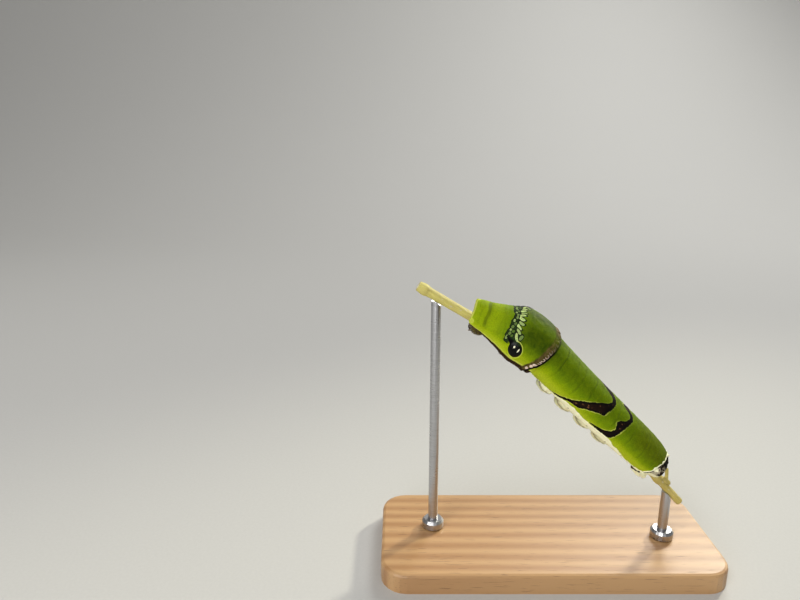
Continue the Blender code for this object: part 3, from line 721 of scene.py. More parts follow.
def proleg_form(rows, tip, side, sides=44, levels=26):
    """A proleg as rings of points through its levels, in the row frame."""
    a = 2 * math.pi * np.arange(sides) / sides
    rings = []
    for at in np.linspace(0, len(rows) - 1, levels):
        along, left, up, length, thickness, lean = (float(value) for value in columns(rows, at))
        lean = math.radians(lean)
        ring = np.stack(
            [
                along + length * np.cos(a), left + thickness * np.sin(a) * math.cos(lean),
                up + thickness * np.sin(a) * math.sin(lean),
            ],
            axis=1,
        )
        rings.append(ring)
    last, middle = rings[-1], rings[-1].mean(axis=0)
    for part, narrowing in ((0.45, 0.88), (0.85, 0.55)):
        rings.append(middle + (tip - middle) * part + (last - middle) * narrowing)
    rings = np.array(rings)
    rings[:, :, 1] *= side
    start = np.array(rows[0][:3])
    start[1] *= side
    end = tip * np.array((1, side, 1))
    return lofted([SPINE.place(ring) for ring in rings], SPINE.place(start), SPINE.place(end))


def body_form(sides=160, spacing=0.3):
    """The plain body as one closed tube in the row frame."""
    count = int((BODY_LENGTH - 0.02) / spacing)
    places = (BODY_LENGTH - 0.02) * np.arange(count + 1) / count
    places = np.concatenate([[0.0, 0.04, 0.15], places[1:]])
    angles = 360.0 * np.arange(sides) / sides
    rings = [SPINE.place(skin(np.full(sides, place), angles)) for place in places]
    rings[0] = rings[0].mean(axis=0) + (rings[1] - rings[0].mean(axis=0)) * 0.93
    return lofted(rings, rings[0].mean(axis=0), rings[-1].mean(axis=0))


def corner_points():
    """Root, tip and radii of the blunt points at the corners of the first rim and of the tail's shield."""
    made = []
    for side in (1, -1):
        line = float(through(TAIL_LINE, side * TAIL_POINT[2]))
        for start, (*ends, turn, radius, tip_radius) in ((0.0, RIM_POINT), (line, TAIL_POINT)):
            root, tip = (skin(start + place, 90 - side * turn, proud) for place, proud in ends)
            made.append((root, tip, radius, tip_radius))
    return made


def limb_places(body_points):
    """How far down a proleg each point lies, from 0 at its root to 1 at its sole, and 0 on the body."""
    depth = np.zeros(len(body_points))
    mirrored = body_points * np.array((1, 0, 1))
    mirrored[:, 1] = np.abs(body_points[:, 1])
    for _, rows, tip in proleg_rows():
        root = np.array(rows[1][:3])
        line = np.array(tip) - root
        off = mirrored - root
        part = (off @ line) / (line @ line)
        apart = np.linalg.norm((off - part[:, None] * line) * np.array((0.62, 1, 1)), axis=1)
        near = ease(apart, 1.75, 1.35)
        depth = np.maximum(depth, np.clip(part, 0, 1.1) * near)
    return depth


def pattern_flank(signed):
    """The flank angle that markings are read at: the near side's own, the far side's fitted to mirror it."""
    stretch = (90 - PATTERN_MIDDLE) / (90 + PATTERN_MIDDLE)
    return np.where(signed > PATTERN_MIDDLE, signed, PATTERN_MIDDLE + (PATTERN_MIDDLE - signed) * stretch)


def lace_cells(along, turn, per_degree):
    """Depth in the nearest cell of the lace band, distance to the next cell and paleness, at each point."""
    apart, tones = [], []
    for place, middle, half_along, half_arc, tilt, pale in LACE_CELLS:
        ahead, off = along - place, (turn - middle) * per_degree
        run = ahead * math.cos(tilt) + off * math.sin(tilt)
        rise = off * math.cos(tilt) - ahead * math.sin(tilt) + 0.30 * run**2 - 0.05
        apart.append((np.abs(run / half_along) ** 2.6 + np.abs(rise / half_arc) ** 2.6) ** (1 / 2.6))
        tones.append(pale)
    apart = np.array(apart)
    ranked = np.partition(apart, 1, axis=0)
    return 1 - ranked[0], ranked[1] - ranked[0], np.array(tones)[apart.argmin(axis=0)]


def scallops(collar, arc, turn):
    """Pale loops along the rear of the collar, filled low on the flank: depth inside them at each point."""
    rng = np.random.default_rng(12)
    depth = np.full(len(collar), -1.0)
    at = -7.5
    while at < 8.5:
        wide, place, lean = rng.uniform(0.30, 0.40), rng.uniform(-0.06, 0.10), rng.uniform(-0.5, 0.5)
        off = (arc - at + lean * (collar - place)) / wide
        run = (collar - place) / 0.46
        far = np.hypot(run, off)
        loop = 1 - np.abs(far - 0.80) / 0.36 - ease(-run, 0.1, 0.7)
        depth = np.maximum(depth, np.where(turn > 58, (1 - far) * 1.6, loop))
        at += rng.uniform(0.72, 1.10)
    return depth


def band_depth(along, turn, per_degree):
    """Depth inside the nearer of the two dark bands."""
    first = np.minimum(along - through(BAND_1_FRONT, turn), through(BAND_1_REAR, turn) - along) * 0.78
    first = np.minimum(first, (BAND_1_FOOT - turn) * per_degree)
    second = np.minimum(along - through(BAND_2_FRONT, turn), through(BAND_2_REAR, turn) - along) * 0.9
    second = np.minimum(second, (BAND_2_FOOT - turn) * per_degree + 0.1)
    return np.maximum(first, second)


def lace_values(along, flank, turn, arc, per_degree):
    """Depth inside the lace band, and its cells."""
    front, rear = through(LACE_FRONT, turn), through(LACE_REAR, turn)
    foot = (LACE_FOOT - turn) * per_degree
    near = (along > 5.0) & (along < 11.5) & (flank < 82)
    cell, gap, pale = (np.full(len(along), low) for low in (-1.0, 0.0, 0.0))
    for kept, new in zip((cell, gap, pale), lace_cells(along[near], turn[near], per_degree[near])):
        kept[near] = new
    ragged = 0.10 * np.sin(arc * 4.1 + 1.0) + 0.06 * np.sin(arc * 9.7)
    uneven = 0.07 * np.sin(arc * 2.9 + 0.6) + 0.05 * np.sin(arc * 7.3)
    band = np.minimum(np.minimum(along - front + uneven, rear - 0.28 + ragged - along), foot)
    lace = np.maximum(band, np.where(foot > 0, cell * 0.42 + 0.10, -1.0))
    return {"cell": cell, "cell_gap": gap, "cell_pale": pale, "lace": lace}


def eyespot_values(along, turn, per_degree):
    """Places over and beside the eyespot's middle, distance from it over its size, and depth in its neck."""
    place, middle, half_along, half_arc = EYESPOT
    across, up = along - place, (middle - turn) * per_degree
    start, end = (np.array(point) for point in EYESPOT_NECK)
    line = end[:2] - start[:2]
    part = np.clip(((across - start[0]) * line[0] + (up - start[1]) * line[1]) / (line @ line), 0, 1)
    thick = start[2] + (end[2] - start[2]) * part
    neck = thick - np.hypot(across - start[0] - part * line[0], up - start[1] - part * line[1])
    spot = np.hypot((across + 0.16 * up) / half_along, up / half_arc)
    return {"eye_u": across, "eye_v": up, "eye": spot, "neck": neck}


def fold_depth(along, flank, arc):
    """Depth of the soft folds across the back."""
    fold = np.zeros(len(along))
    wander = 0.10 * patchy(along * 0.4, arc, 3.0, 31)
    broken = ease(patchy(along * 0.8, arc, 2.2, 32), -0.7, 0.5)
    for centre, width, strength, low, gaps in FOLDS:
        whole = 1 - gaps + gaps * broken
        line = bump(along + wander, centre, width)
        line = 0.8 * ease(line, 0.2, 0.8) if strength > 1 else line
        fold += strength * line * ease(low + 12 - flank, 0, 24) * whole
    return fold


def corner_depth(body_points):
    """Depth inside the blunt points at the corners of the first rim and of the tail's shield."""
    depth = np.full(len(body_points), -9.0)
    for root, tip, radius, tip_radius in corner_points():
        line = tip - root
        part = np.clip((body_points - root) @ line / (line @ line), 0.35, 1)
        apart = np.linalg.norm(body_points - root - part[:, None] * line, axis=1)
        depth = np.maximum(depth, radius + (tip_radius - radius) * part - apart)
    return depth


def spiracle_distance(along, flank, per_degree):
    """Distance from the nearest breathing hole over its half size."""
    near = np.full(len(along), 9.0)
    centres = [SEGMENT_ENDS[0] - 0.8] + [(SEGMENT_ENDS[k - 1] + SEGMENT_ENDS[k]) / 2 for k in range(3, 11)]
    for centre in centres:
        across = (along - centre) / SPIRACLE_SIZE[0]
        near = np.minimum(near, np.hypot(across, (flank - SPIRACLE_FLANK) * per_degree / SPIRACLE_SIZE[1]))
    return near


def marking_values(along, flank, body_points, limb):
    """Signed distances and places of every marking in millimetres, by name."""
    side = np.where(body_points[:, 1] < 0, -1.0, 1.0)
    radius = (through(PROFILE, along, 1) + through(PROFILE, along, 2)) / 2
    per_degree = np.radians(1.0) * radius
    turn = pattern_flank(flank * side)
    arc = flank * side * per_degree
    collar = along - through(COLLAR_LINE, turn)
    near = np.abs(collar) < 1.2
    loops = np.full(len(along), -1.0)
    loops[near] = scallops(collar[near], arc[near], turn[near])
    return {
        "along": along, "flank": flank, "turn": turn, "arc": arc, "limb": limb,
        "band": band_depth(along, turn, per_degree), **lace_values(along, flank, turn, arc, per_degree),
        "collar": collar, "scallop": loops, "tail": along - through(TAIL_LINE, flank * side),
        "white": (flank - through(WHITE_TOP, along)) * per_degree,
        **eyespot_values(along, turn, per_degree), "fold": fold_depth(along, flank, arc),
        "point": corner_depth(body_points), "spiracle": spiracle_distance(along, flank, per_degree),
    }


def skin_relief(body_points, values):
    """Height of the folds, ridges and pits over the plain skin, in millimetres."""
    along, flank, arc, limb = (values[name] for name in ("along", "flank", "arc", "limb"))
    on_body = 1 - ease(limb, 0.05, 0.3)
    height = np.zeros(len(along))
    for k, end in enumerate(SEGMENT_ENDS[:-1]):
        strength = 0.030 if k < 3 else 0.048
        if end == COLLAR_END:
            strength = 0.02
        lower = 1 + 0.9 * ease(flank, 85, 120)
        height -= strength * lower * bump(along, end + 0.05 * np.sin(arc * 1.3 + k), 0.16)
        height += strength * 0.35 * bump(along, end - 0.42, 0.3)
    starts = (0.0, *SEGMENT_ENDS[:-1])
    folds = patchy(along * 0.35, arc, 2.6, 3)
    for k in range(4, 12):
        for part in (0.27, 0.50, 0.74):
            place = starts[k] + part * SEGMENT_LENGTHS[k] + 0.05 * np.sin(arc * 2.1 + 5 * part + k)
            height -= (0.007 if k > 8 else 0.012) * (1 + 0.8 * folds) * bump(along, place, 0.11)
    height -= 0.055 * values["fold"]

    thorax = 1 - ease(along, COLLAR_END - 0.5, COLLAR_END + 0.2)
    height += 0.08 * bump(flank, 86.5, 3.0) * thorax * (0.8 + 0.2 * np.sin(along * 5.2))
    bulge = 0.42 * bump(flank, 103, 10) * thorax * ease(along, 1.0, 3.0)
    height += bulge - 0.06 * bump(flank, 91, 1.8) * thorax
    height += 0.08 * bump(values["white"], 0.28, 0.30) * (1 - thorax) * on_body
    height += 0.10 * bump(along, 0.12, 0.16) * ease(flank, 100, 80)

    knobs = 0.78 + 0.30 * patchy(along * 2.0, arc * 2.0, 1.5, 5)
    collar = values["collar"]
    height += 0.15 * bump(collar, 0.0, 0.40) * knobs
    height -= 0.13 * bump(collar, 0.74, 0.20) + 0.045 * bump(collar, -0.68, 0.16)

    eye = values["eye"]
    height += 0.16 * np.clip(1 - eye**2, 0, 1) - 0.05 * bump(eye, 1.12, 0.09) + 0.035 * bump(eye, 1.28, 0.08)
    inside = ease(values["lace"], -0.05, 0.10)
    height += inside * (0.05 * ease(np.minimum(values["cell"], values["cell_gap"]), 0.0, 0.45) - 0.02)
    height += 0.035 * ease(values["scallop"], 0.0, 0.6)

    tail = values["tail"]
    height += 0.13 * bump(tail, 0.0, 0.17)
    behind = ease(tail, 0.12, 0.45)
    height -= behind * 0.10
    height += behind * 0.05 * patchy(along * 1.1, arc * 2.4, 1.6, 8)

    spiracle = values["spiracle"]
    height += on_body * (0.05 * bump(spiracle, 1.05, 0.28) - 0.10 * ease(spiracle, 0.85, 0.35))

    low = ease(flank, 96, 112)
    height += low * 0.045 * patchy(along * 2.3, arc * 0.5, 1.9, 11)
    height += ease(limb, 0.12, 0.4) * 0.022 * np.cos(2 * math.pi * limb * 5.0 + 0.8 * np.sin(along * 3.0))
    height += 0.012 * ripple(body_points, 1.3, 21) + 0.006 * ripple(body_points, 0.42, 22)
    return height


def make_skin(voxel):
    """One closed mesh of the body and prolegs, with its relief and with its markings kept at each point."""
    forms = [body_form()]
    for root, tip, radius, tip_radius in corner_points():
        path = curved(SPINE.place([root, (root + tip) / 2, tip]), 8)
        forms.append(swept(path, np.linspace(radius, tip_radius, 8), 16))
    for _, rows, tip in proleg_rows():
        forms += [proleg_form(rows, tip, side) for side in (1, -1)]
    points, faces = joined(forms)
    rough = bpy.data.meshes.new("skin_rough")
    rough.from_pydata(points.tolist(), [], faces)
    lump = placed("skin_rough", rough)
    remesh = lump.modifiers.new("even", "REMESH")
    remesh.mode = "VOXEL"
    remesh.voxel_size = voxel
    soften = lump.modifiers.new("soften", "SMOOTH")
    soften.factor = 0.5
    soften.iterations = 5
    bpy.context.view_layer.update()
    even = bpy.data.meshes.new_from_object(lump.evaluated_get(bpy.context.evaluated_depsgraph_get()))
    bpy.data.objects.remove(lump)
    bpy.data.meshes.remove(rough)
    count = len(even.vertices)
    places, normals = np.empty(count * 3), np.empty(count * 3, np.float32)
    even.vertices.foreach_get("co", places)
    even.vertex_normals.foreach_get("vector", normals)
    places, normals = places.reshape(-1, 3), normals.reshape(-1, 3)
    body_points = SPINE.locate(places)
    limb = limb_places(body_points)
    along, flank = surface_coordinates(body_points)
    values = marking_values(along, flank, body_points, limb)
    places = places + normals * skin_relief(body_points, values)[:, None]
    even.vertices.foreach_set("co", (places * MM).ravel())
    keep_values(even, values)
    even.name = "larva_skin"
    even.shade_smooth()
    return even


class SkinShader(Shader):
    """The skin's shader helper, with the numbers, patches and masks that its markings share."""

    def __init__(self, tree):
        super().__init__(tree)
        self.pick = settings()
        self.tools = self.mix, self.tint, self.times, self.smooth
        for name in ("along", "flank", "turn", "arc", "limb", "band", "eye", "tail"):
            setattr(self, name, self.held(name))
        self.cloud, self.patch = self.mottle(3.2, 0.1), self.mottle(0.8, 0.2)
        self.fine, self.stain = self.mottle(0.16, 0.7), self.mottle(1.2, 0.9)
        self.grey = self.mix(self.patch, self.pick.leg_green, self.pick.leg_grey)
        self.dark_band = self.mask(self.band, 0.05, 0.24, 0.45)
        self.pupil = self.smooth(self.eye, 1.05, 0.99)


def shield_green(skin):
    """Green of the shield: darker towards the back, most behind the lace band, partly its own green and
    partly painted shade; paler near the middle of the back as painted light from behind; olive towards the
    tail.
    """
    mix, tint, times, smooth = skin.tools
    pick, along, turn = skin.pick, skin.along, skin.turn
    yellow, deep = pick.yellow_green, pick.deep_green
    shifted = skin.scaled(skin.cloud, 16.0, turn)
    colour = mix(smooth(shifted, 92.0, 50.0), yellow, pick.leaf_green)
    # Deep green over the back, most behind the lace band: partly the skin's own green, partly painted shade
    depth = smooth(along, 5.4, 10.0, 0.12, 1.0)
    depth = times(depth, smooth(along, 12.0, 19.5, 1.0, 0.50))
    shade_end = smooth(along, 13.0, 17.0, 74.0, 62.0)
    from_end = skin.math("DIVIDE", skin.minus(shade_end, shifted), 38.0)
    depth = times(depth, smooth(from_end, 0.0, 1.0))
    # Less deep green near the middle of the back: a paler strip of painted light from behind
    depth = times(depth, smooth(turn, -9.0, 14.0, 0.55, 1.0))
    colour = mix(depth, colour, deep)
    rear = times(smooth(along, 36.0, 40.5), smooth(shifted, 78.0, 30.0))
    colour = tint(colour, pick.olive, rear, 0.75)
    colour = mix(smooth(along, 6.2, 3.6, 0.0, 0.55), colour, yellow)
    colour = mix(smooth(turn, 60.0, 86.0, 0.0, 0.75), colour, pick.low_yellow)
    colour = tint(colour, yellow, skin.patch, 0.16)
    return tint(colour, deep, skin.fine, 0.22)


def lay_fold_shade(skin, colour):
    """Painted shade in the folds across the back, and faint dark streaks beside them painted as the shade of
    fine wrinkles.
    """
    mix, tint, times, smooth = skin.tools
    olive, deep = skin.pick.olive, skin.pick.deep_green
    # Faint dark streaks across the back: painted shade of fine wrinkles
    wrinkle_shade = skin.noise(skin.flat(times(skin.along, 2.2), times(skin.arc, 0.5)), 1.0, 3.0)
    wrinkle_shade = times(smooth(wrinkle_shade, 0.55, 0.75), smooth(skin.turn, 66.0, 30.0))
    colour = tint(colour, deep, wrinkle_shade, 0.25)
    # Olive and deep green in the folds: painted shade
    fold_shade_colour = mix(smooth(skin.along, 4.0, 8.0), mix(0.5, olive, deep), deep)
    return mix(times(skin.held("fold"), 0.75, clamp=True), colour, fold_shade_colour)


def lay_pale_sides(skin, colour):
    """White sides, greyer prolegs with painted shade in their folds and brown soles, and a dull belly, behind
    the thorax.
    """
    mix, tint, times, smooth = skin.tools
    pick, limb, grey = skin.pick, skin.limb, skin.grey
    low = skin.mask(skin.held("white"), 0.08, 0.30, 1.3)
    below = times(smooth(skin.held("white"), 0.9, 2.2), smooth(skin.cloud, 0.1, 0.9))
    under = tint(pick.side_white, grey, below, 0.6)
    # Grey rings in the prolegs' folds: painted shade
    folds = smooth(skin.math("SINE", times(limb, 31.0)), 0.1, 0.95)
    under = tint(under, grey, times(folds, smooth(limb, 0.15, 0.35)), 0.22)
    lower_leg = times(smooth(limb, 0.78, 1.0), smooth(skin.stain, 0.3, 0.8))
    under = tint(under, pick.leg_brown, lower_leg, 0.8)
    belly = times(smooth(skin.flank, 128.0, 150.0), smooth(limb, 0.2, 0.0))
    under = mix(belly, under, pick.belly)
    return mix(times(low, smooth(skin.along, 15.2, 15.9)), colour, under)


def lay_thorax_sides(skin, colour):
    """Dark brown sides of the thorax under a yellow rim, and the rim of the first segment."""
    mix, tint, times, smooth = skin.tools
    pick, along, flank = skin.pick, skin.along, skin.flank
    is_thorax = smooth(along, 15.3, 14.9)
    rim = smooth(skin.off(flank, 86.8), 2.8, 1.0)
    rim = times(rim, smooth(skin.cloud, 0.2, 0.8, 0.35, 0.85))
    colour = mix(times(rim, is_thorax), colour, pick.rim_yellow)
    brown = mix(skin.patch, pick.side_brown, pick.band_brown)
    brown = mix(smooth(flank, 108.0, 135.0, 0.0, 0.75), brown, pick.belly)
    brown = tint(brown, pick.leg_brown, skin.fine, 0.3)
    colour = mix(times(is_thorax, smooth(flank, 88.6, 90.2)), colour, brown)
    lip = times(smooth(along, 0.20, 0.04), smooth(flank, 97.0, 90.0))
    colour = mix(lip, colour, pick.rim_yellow)
    return mix(smooth(along, 0.05, 0.0), colour, pick.side_brown)


def lay_bands(skin, colour):
    """Dark bands with brown specks, and a thin pale line along their edges."""
    mix, _, times, smooth = skin.tools
    pick, band = skin.pick, skin.band
    halo = skin.mask(skin.math("ADD", band, 0.16), 0.10, 0.20, 0.5)
    halo = times(halo, smooth(skin.turn, 10.0, 48.0, 0.12, 0.80))
    colour = mix(halo, colour, pick.rim_yellow)
    cells = {"Vector": skin.place(), "Scale": 1.5 / MM, "Randomness": 1.0}
    specks = skin.node("TexVoronoi", cells).outputs["Distance"]
    specks = skin.scaled(skin.fine, 0.22, skin.minus(specks, 0.11))
    inner = smooth(band, 0.25, 0.75)
    specks = times(smooth(specks, 0.30, 0.16), times(inner, skin.stain))
    dark = mix(times(inner, skin.cloud), pick.band_black, pick.band_brown)
    return mix(skin.dark_band, colour, mix(specks, dark, pick.speck_brown))


def lay_lace(skin, colour):
    """Lace band of a dark net and pale cells between the eyespots."""
    mix, tint, times, smooth = skin.tools
    pick, patch, fine = skin.pick, skin.patch, skin.fine
    lace = skin.held("lace")
    inside = skin.math("MINIMUM", skin.held("cell"), times(skin.held("cell_gap"), 0.34))
    cells = smooth(skin.scaled(fine, -0.04, inside), 0.05, 0.20)
    cell_colour = mix(skin.held("cell_pale"), pick.lace_dim, pick.lace_pale)
    cell_colour = tint(cell_colour, pick.leaf_green, patch, 0.3)
    core = times(smooth(inside, 0.24, 0.52), smooth(fine, 0.1, 0.7))
    cell_colour = tint(cell_colour, pick.lace_dim, core, 0.4)
    net = times(smooth(lace, 0.08, 0.20), smooth(skin.held("cell"), -0.12, -0.45))
    ground = tint(pick.lace_line, pick.lace_ground, patch, 0.3)
    ground = mix(net, ground, pick.lace_ground)
    return mix(skin.mask(lace, 0.05, 0.10, 0.4), colour, mix(cells, ground, cell_colour))


def lay_collar(skin, colour):
    """Marbled collar with pale marks and a black rear line."""
    mix, tint, times, smooth = skin.tools
    pick, turn, flank = skin.pick, skin.turn, skin.flank
    collar = skin.held("collar")
    middle = skin.math("ABSOLUTE", skin.math("ADD", collar, 0.10))
    zone = skin.mask(skin.minus(0.78, middle), 0.26, 0.40, 0.7)
    marble = mix(skin.patch, pick.collar_dark, pick.collar_brown)
    marble = mix(smooth(collar, 0.2, 0.7, 0.0, 0.6), marble, pick.band_brown)
    marble = tint(marble, pick.deep_green, smooth(skin.fine, 0.45, 0.9), 0.5)
    pale = times(smooth(skin.held("scallop"), 0.05, 0.45), smooth(turn, 8.0, 66.0, 0.15, 0.92))
    marble = mix(pale, marble, pick.collar_pale)
    zone = times(zone, smooth(turn, -10.0, 22.0, 0.45, 1.0))
    colour = mix(times(zone, smooth(flank, 94.0, 90.5)), colour, marble)
    line = skin.mask(skin.minus(0.26, skin.off(collar, 0.72)), 0.06, 0.12, 0.5)
    line = times(line, smooth(turn, -5.0, 28.0, 0.55, 1.0))
    return mix(times(line, smooth(flank, 112.0, 106.0)), colour, pick.band_black)


def lay_tail(skin, colour):
    """White edge, dark rear face and pale lobe of the tail, and the pale tips of the corner points."""
    mix, tint, times, smooth = skin.tools
    pick, along, flank, tail = skin.pick, skin.along, skin.flank, skin.tail
    white = pick.side_white
    behind = skin.mask(skin.minus(tail, 0.10), 0.07, 0.14, 0.6)
    wisps = skin.noise(skin.flat(times(along, 0.9), times(skin.arc, 1.1)), 1.0, 3.0, 0.9)
    back = mix(smooth(wisps, 0.47, 0.57), pick.band_brown, pick.tail_grey)
    back = mix(smooth(flank, 34.0, 12.0), back, pick.band_black)
    lobe = skin.math("MAXIMUM", smooth(skin.limb, 0.0, 0.05), smooth(flank, 72.0, 80.0))
    back = mix(lobe, back, tint(white, skin.grey, skin.patch, 0.4))
    thin = times(smooth(skin.off(tail, 0.40), 0.26, 0.14), smooth(flank, 150.0, 144.0))
    colour = mix(behind, colour, mix(thin, back, pick.band_black))
    ribbon = skin.mask(skin.minus(0.17, skin.math("ABSOLUTE", tail)), 0.05, 0.30, 0.7)
    colour = mix(ribbon, colour, white)
    front_tip = mix(0.5, pick.yellow_green, pick.rim_yellow)
    tip = times(smooth(skin.held("point"), -0.25, -0.08), smooth(tail, 1.7, 1.3))
    return mix(tip, colour, mix(smooth(along, 10.0, 40.0), front_tip, white))


def lay_eyespots(skin, colour):
    """Black eyespot with pale glints, a thin ring round its rear and a neck that joins the lace band."""
    mix, tint, times, smooth = skin.tools
    pick, eye = skin.pick, skin.eye
    eye_u, eye_v = skin.held("eye_u"), skin.held("eye_v")
    ring = times(smooth(skin.off(eye, 1.11), 0.075, 0.03), smooth(eye_u, -0.75, 0.1))
    colour = tint(colour, pick.rim_yellow, ring, 0.85)
    front = times(smooth(eye, 1.45, 1.12), smooth(eye_u, -0.5, -1.0))
    colour = tint(colour, pick.yellow_green, times(front, smooth(eye_v, 1.0, 0.4)), 0.6)
    neck = times(skin.mask(skin.held("neck"), 0.05, 0.12, 0.4), smooth(eye_u, 0.9, 0.3))
    colour = mix(neck, colour, mix(smooth(eye_v, 1.1, 1.9), pick.eye_black, pick.lace_ground))
    colour = mix(skin.pupil, colour, pick.eye_black)
    top = times(smooth(eye_v, 0.95, 1.5), skin.pupil)
    colour = tint(colour, pick.lace_ground, top, 0.7)
    for u, v, wide, high in EYE_GLINTS:
        across = skin.math("DIVIDE", skin.minus(eye_u, u), wide)
        up = skin.math("DIVIDE", skin.minus(eye_v, v), high)
        far = skin.node("VectorMath", {0: skin.flat(across, up)}, operation="LENGTH").outputs["Value"]
        colour = mix(smooth(far, 1.1, 0.6), colour, pick.side_white)
    return colour


def lay_breathing_holes(skin, colour):
    """Brown rims and dark middles of the breathing holes, off the prolegs."""
    mix, _, times, smooth = skin.tools
    hole, off_legs = skin.held("spiracle"), smooth(skin.limb, 0.3, 0.1)
    colour = mix(times(smooth(hole, 1.25, 0.8, 0.0, 0.6), off_legs), colour, skin.pick.collar_brown)
    return mix(times(smooth(hole, 0.5, 0.2), off_legs), colour, skin.pick.collar_dark)


def skin_material():
    """Green shield with dark bands, lace band, collar, eyespots and tail edge; pale sides and prolegs."""
    material, skin, principled = new_material(
        "larva_skin", helper=SkinShader, Subsurface_Weight=0.05, Subsurface_Scale=0.4 * MM,
        Coat_Roughness=0.06, Specular_IOR_Level=0.07,
    )
    colour = shield_green(skin)
    for lay in (
        lay_fold_shade, lay_pale_sides, lay_thorax_sides, lay_bands, lay_lace, lay_collar, lay_tail, lay_eyespots,
        lay_breathing_holes,
    ):
        colour = lay(skin, colour)
    rough = skin.between(skin.dark_band, skin.scaled(skin.fine, 0.12, 0.60), 0.64)
    skin.fill(
        principled, Base_Color=colour, Roughness=skin.between(skin.pupil, rough, 0.30),
        Coat_Weight=skin.times(skin.pupil, 0.12),
        Normal=skin.grain(0.13, skin.scaled(skin.pupil, -0.28, 0.32)),
    )
    return material


# Small parts of the larva


def head_point(level, turn, proud=0.0):
    """Points of the head's surface in the row frame; turn 0 is the back of the head, 180 the face's seam."""
    level, turn = np.broadcast_arrays(np.asarray(level, float), np.asarray(turn, float))
    along, up, deep, wide = columns(HEAD_LEVELS, level)
    a = np.radians(turn)
    c, s = np.cos(a), np.sin(a)
    lobes = 0.06 * np.abs(s) ** 1.5 * ease(level, 0.8, 2.2)
    seam = 0.11 * bump(s, 0.0, 0.10) * (c < 0) * ease(4.4 - level, 0.0, 1.2)
    # Two fine grooves run from the middle seam round the face's triangle to the jaws
    split = 0.10 + 0.52 * np.clip((level - 2.6) / 2.0, 0, 1)
    groove = 0.07 * bump(np.abs(s), split, 0.05) * (c < 0)
    seam = seam + groove * ease(level, 2.4, 2.9) * ease(5.0 - level, 0.0, 0.5)
    out = np.sign(c) * np.abs(c) ** 0.94 * (deep - seam + lobes + proud)
    side = np.sign(s) * np.abs(s) ** 0.94 * (wide - seam * 0.3 + lobes + proud)
    return SPINE.place(np.stack([along + out, side, up], axis=-1))


def head_out(level, turn):
    """Direction away from the head's surface."""
    return unit(head_point(level, turn, 0.2) - head_point(level, turn))


def build_capsule():
    """The head capsule, with level and turn kept at its points for its material."""
    sides, rows = 112, 72
    turns = 360.0 * np.arange(sides) / sides
    levels = np.linspace(0.0, len(HEAD_LEVELS) - 1, rows)
    rings = [head_point(np.full(sides, level), turns) for level in levels]
    points, faces = lofted(rings, rings[0].mean(axis=0), rings[-1].mean(axis=0))
    capsule = make_object("head_capsule", points, faces, capsule_material())
    values = {"level": np.repeat(levels, sides), "turn": np.tile(turns, rows)}
    keep_values(capsule.data, {name: np.append(kept, kept[[0, -1]]) for name, kept in values.items()})
    return capsule


def capsule_material():
    """Olive-brown horn with darker temples, a pale face triangle and a netted surface."""
    pick = settings()
    material, shader, principled = new_material(
        "head_horn", Coat_Weight=0.08, Coat_Roughness=0.2, Specular_IOR_Level=0.2
    )
    patch = shader.mottle(0.55, 0.7)
    fine = shader.mottle(0.12, 0.8)
    colour = shader.mix(patch, pick.head_olive, pick.head_brown)
    colour = shader.tint(colour, pick.band_brown, fine, 0.35)
    level = shader.held("level")
    colour = shader.mix(shader.smooth(level, 4.0, 5.2), colour, pick.head_brown)
    face = shader.times(shader.smooth(level, 2.6, 3.4), shader.smooth(level, 4.8, 4.3))
    off_middle = shader.off(shader.held("turn"), 180.0)
    wide = shader.smooth(level, 2.4, 4.6, 2.0, 34.0)
    middle = shader.smooth(shader.minus(wide, off_middle), -1.5, 3.0)
    colour = shader.tint(colour, pick.speck_brown, shader.times(face, middle), 0.45)
    shader.fill(
        principled, Base_Color=colour, Roughness=shader.scaled(fine, 0.15, 0.38),
        Normal=shader.grain(0.16, 0.45),
    )
    return material


def horn_material(name):
    """Glossy horn or tight skin with cloudy patches."""
    found = bpy.data.materials.get(name)
    if found:
        return found
    light, dark, roughness, size = HORNS[name]
    material, shader, principled = new_material(
        name, Coat_Weight=0.12, Coat_Roughness=0.15, Specular_IOR_Level=0.25
    )
    patch = shader.mottle(size, 0.7)
    shader.fill(
        principled, Base_Color=shader.mix(patch, getattr(settings(), light), getattr(settings(), dark)),
        Roughness=shader.scaled(patch, 0.15, roughness), Normal=shader.grain(size * 0.5, 0.25),
    )
    return material


def small_part(name, forms, horn):
    """Several forms as one piece of one horn."""
    return make_object(name, *joined(forms), horn_material(horn))


def ride_all(pieces, replaced=()):
    """Hang pieces on the root body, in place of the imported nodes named."""
    for made in pieces:
        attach(made, "root")
    if replaced:
        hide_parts(*replaced)


def build_jaws():
    """Two curved jaws with four teeth each."""
    forms = []
    for side in (1, -1):
        root = head_point(4.55, 180 - side * 24, -0.15)
        mid = head_point(5.3, 180 - side * 30, 0.22)
        tip = SPINE.place((1.55, side * 0.06, -4.98))
        path = curved([root, mid, tip], 12)
        radii = read_radii(12, (0, 0.35, 0.8, 1), (0.42, 0.46, 0.30, 0.16))
        forms.append(swept(path, radii, 18, 0.8))
        for tooth in range(4):
            base = path[-3] + (head_out(5.0, 180 - side * 60) * 0.10) * (tooth - 1.5)
            out = unit(path[-1] - path[-4])
            forms.append(swept([base, base + out * 0.12, base + out * 0.22], (0.07, 0.05, 0.015), 8))
    return small_part("jaws", forms, "dark_horn")


def build_upper_lip():
    """The upper lip, in two halves that meet at a notch."""
    lip = []
    for side in (1, -1):
        edge = ((4.5, 3, 0.02), (4.75, 16, 0.10), (4.7, 30, 0.02))
        path = curved([head_point(level, 180 - side * turn, proud) for level, turn, proud in edge], 9)
        lip.append(swept(path, (0.16, 0.19, 0.21, 0.22, 0.22, 0.21, 0.18, 0.14, 0.08), 14, 0.6))
    return small_part("upper_lip", lip, "leg_shell")


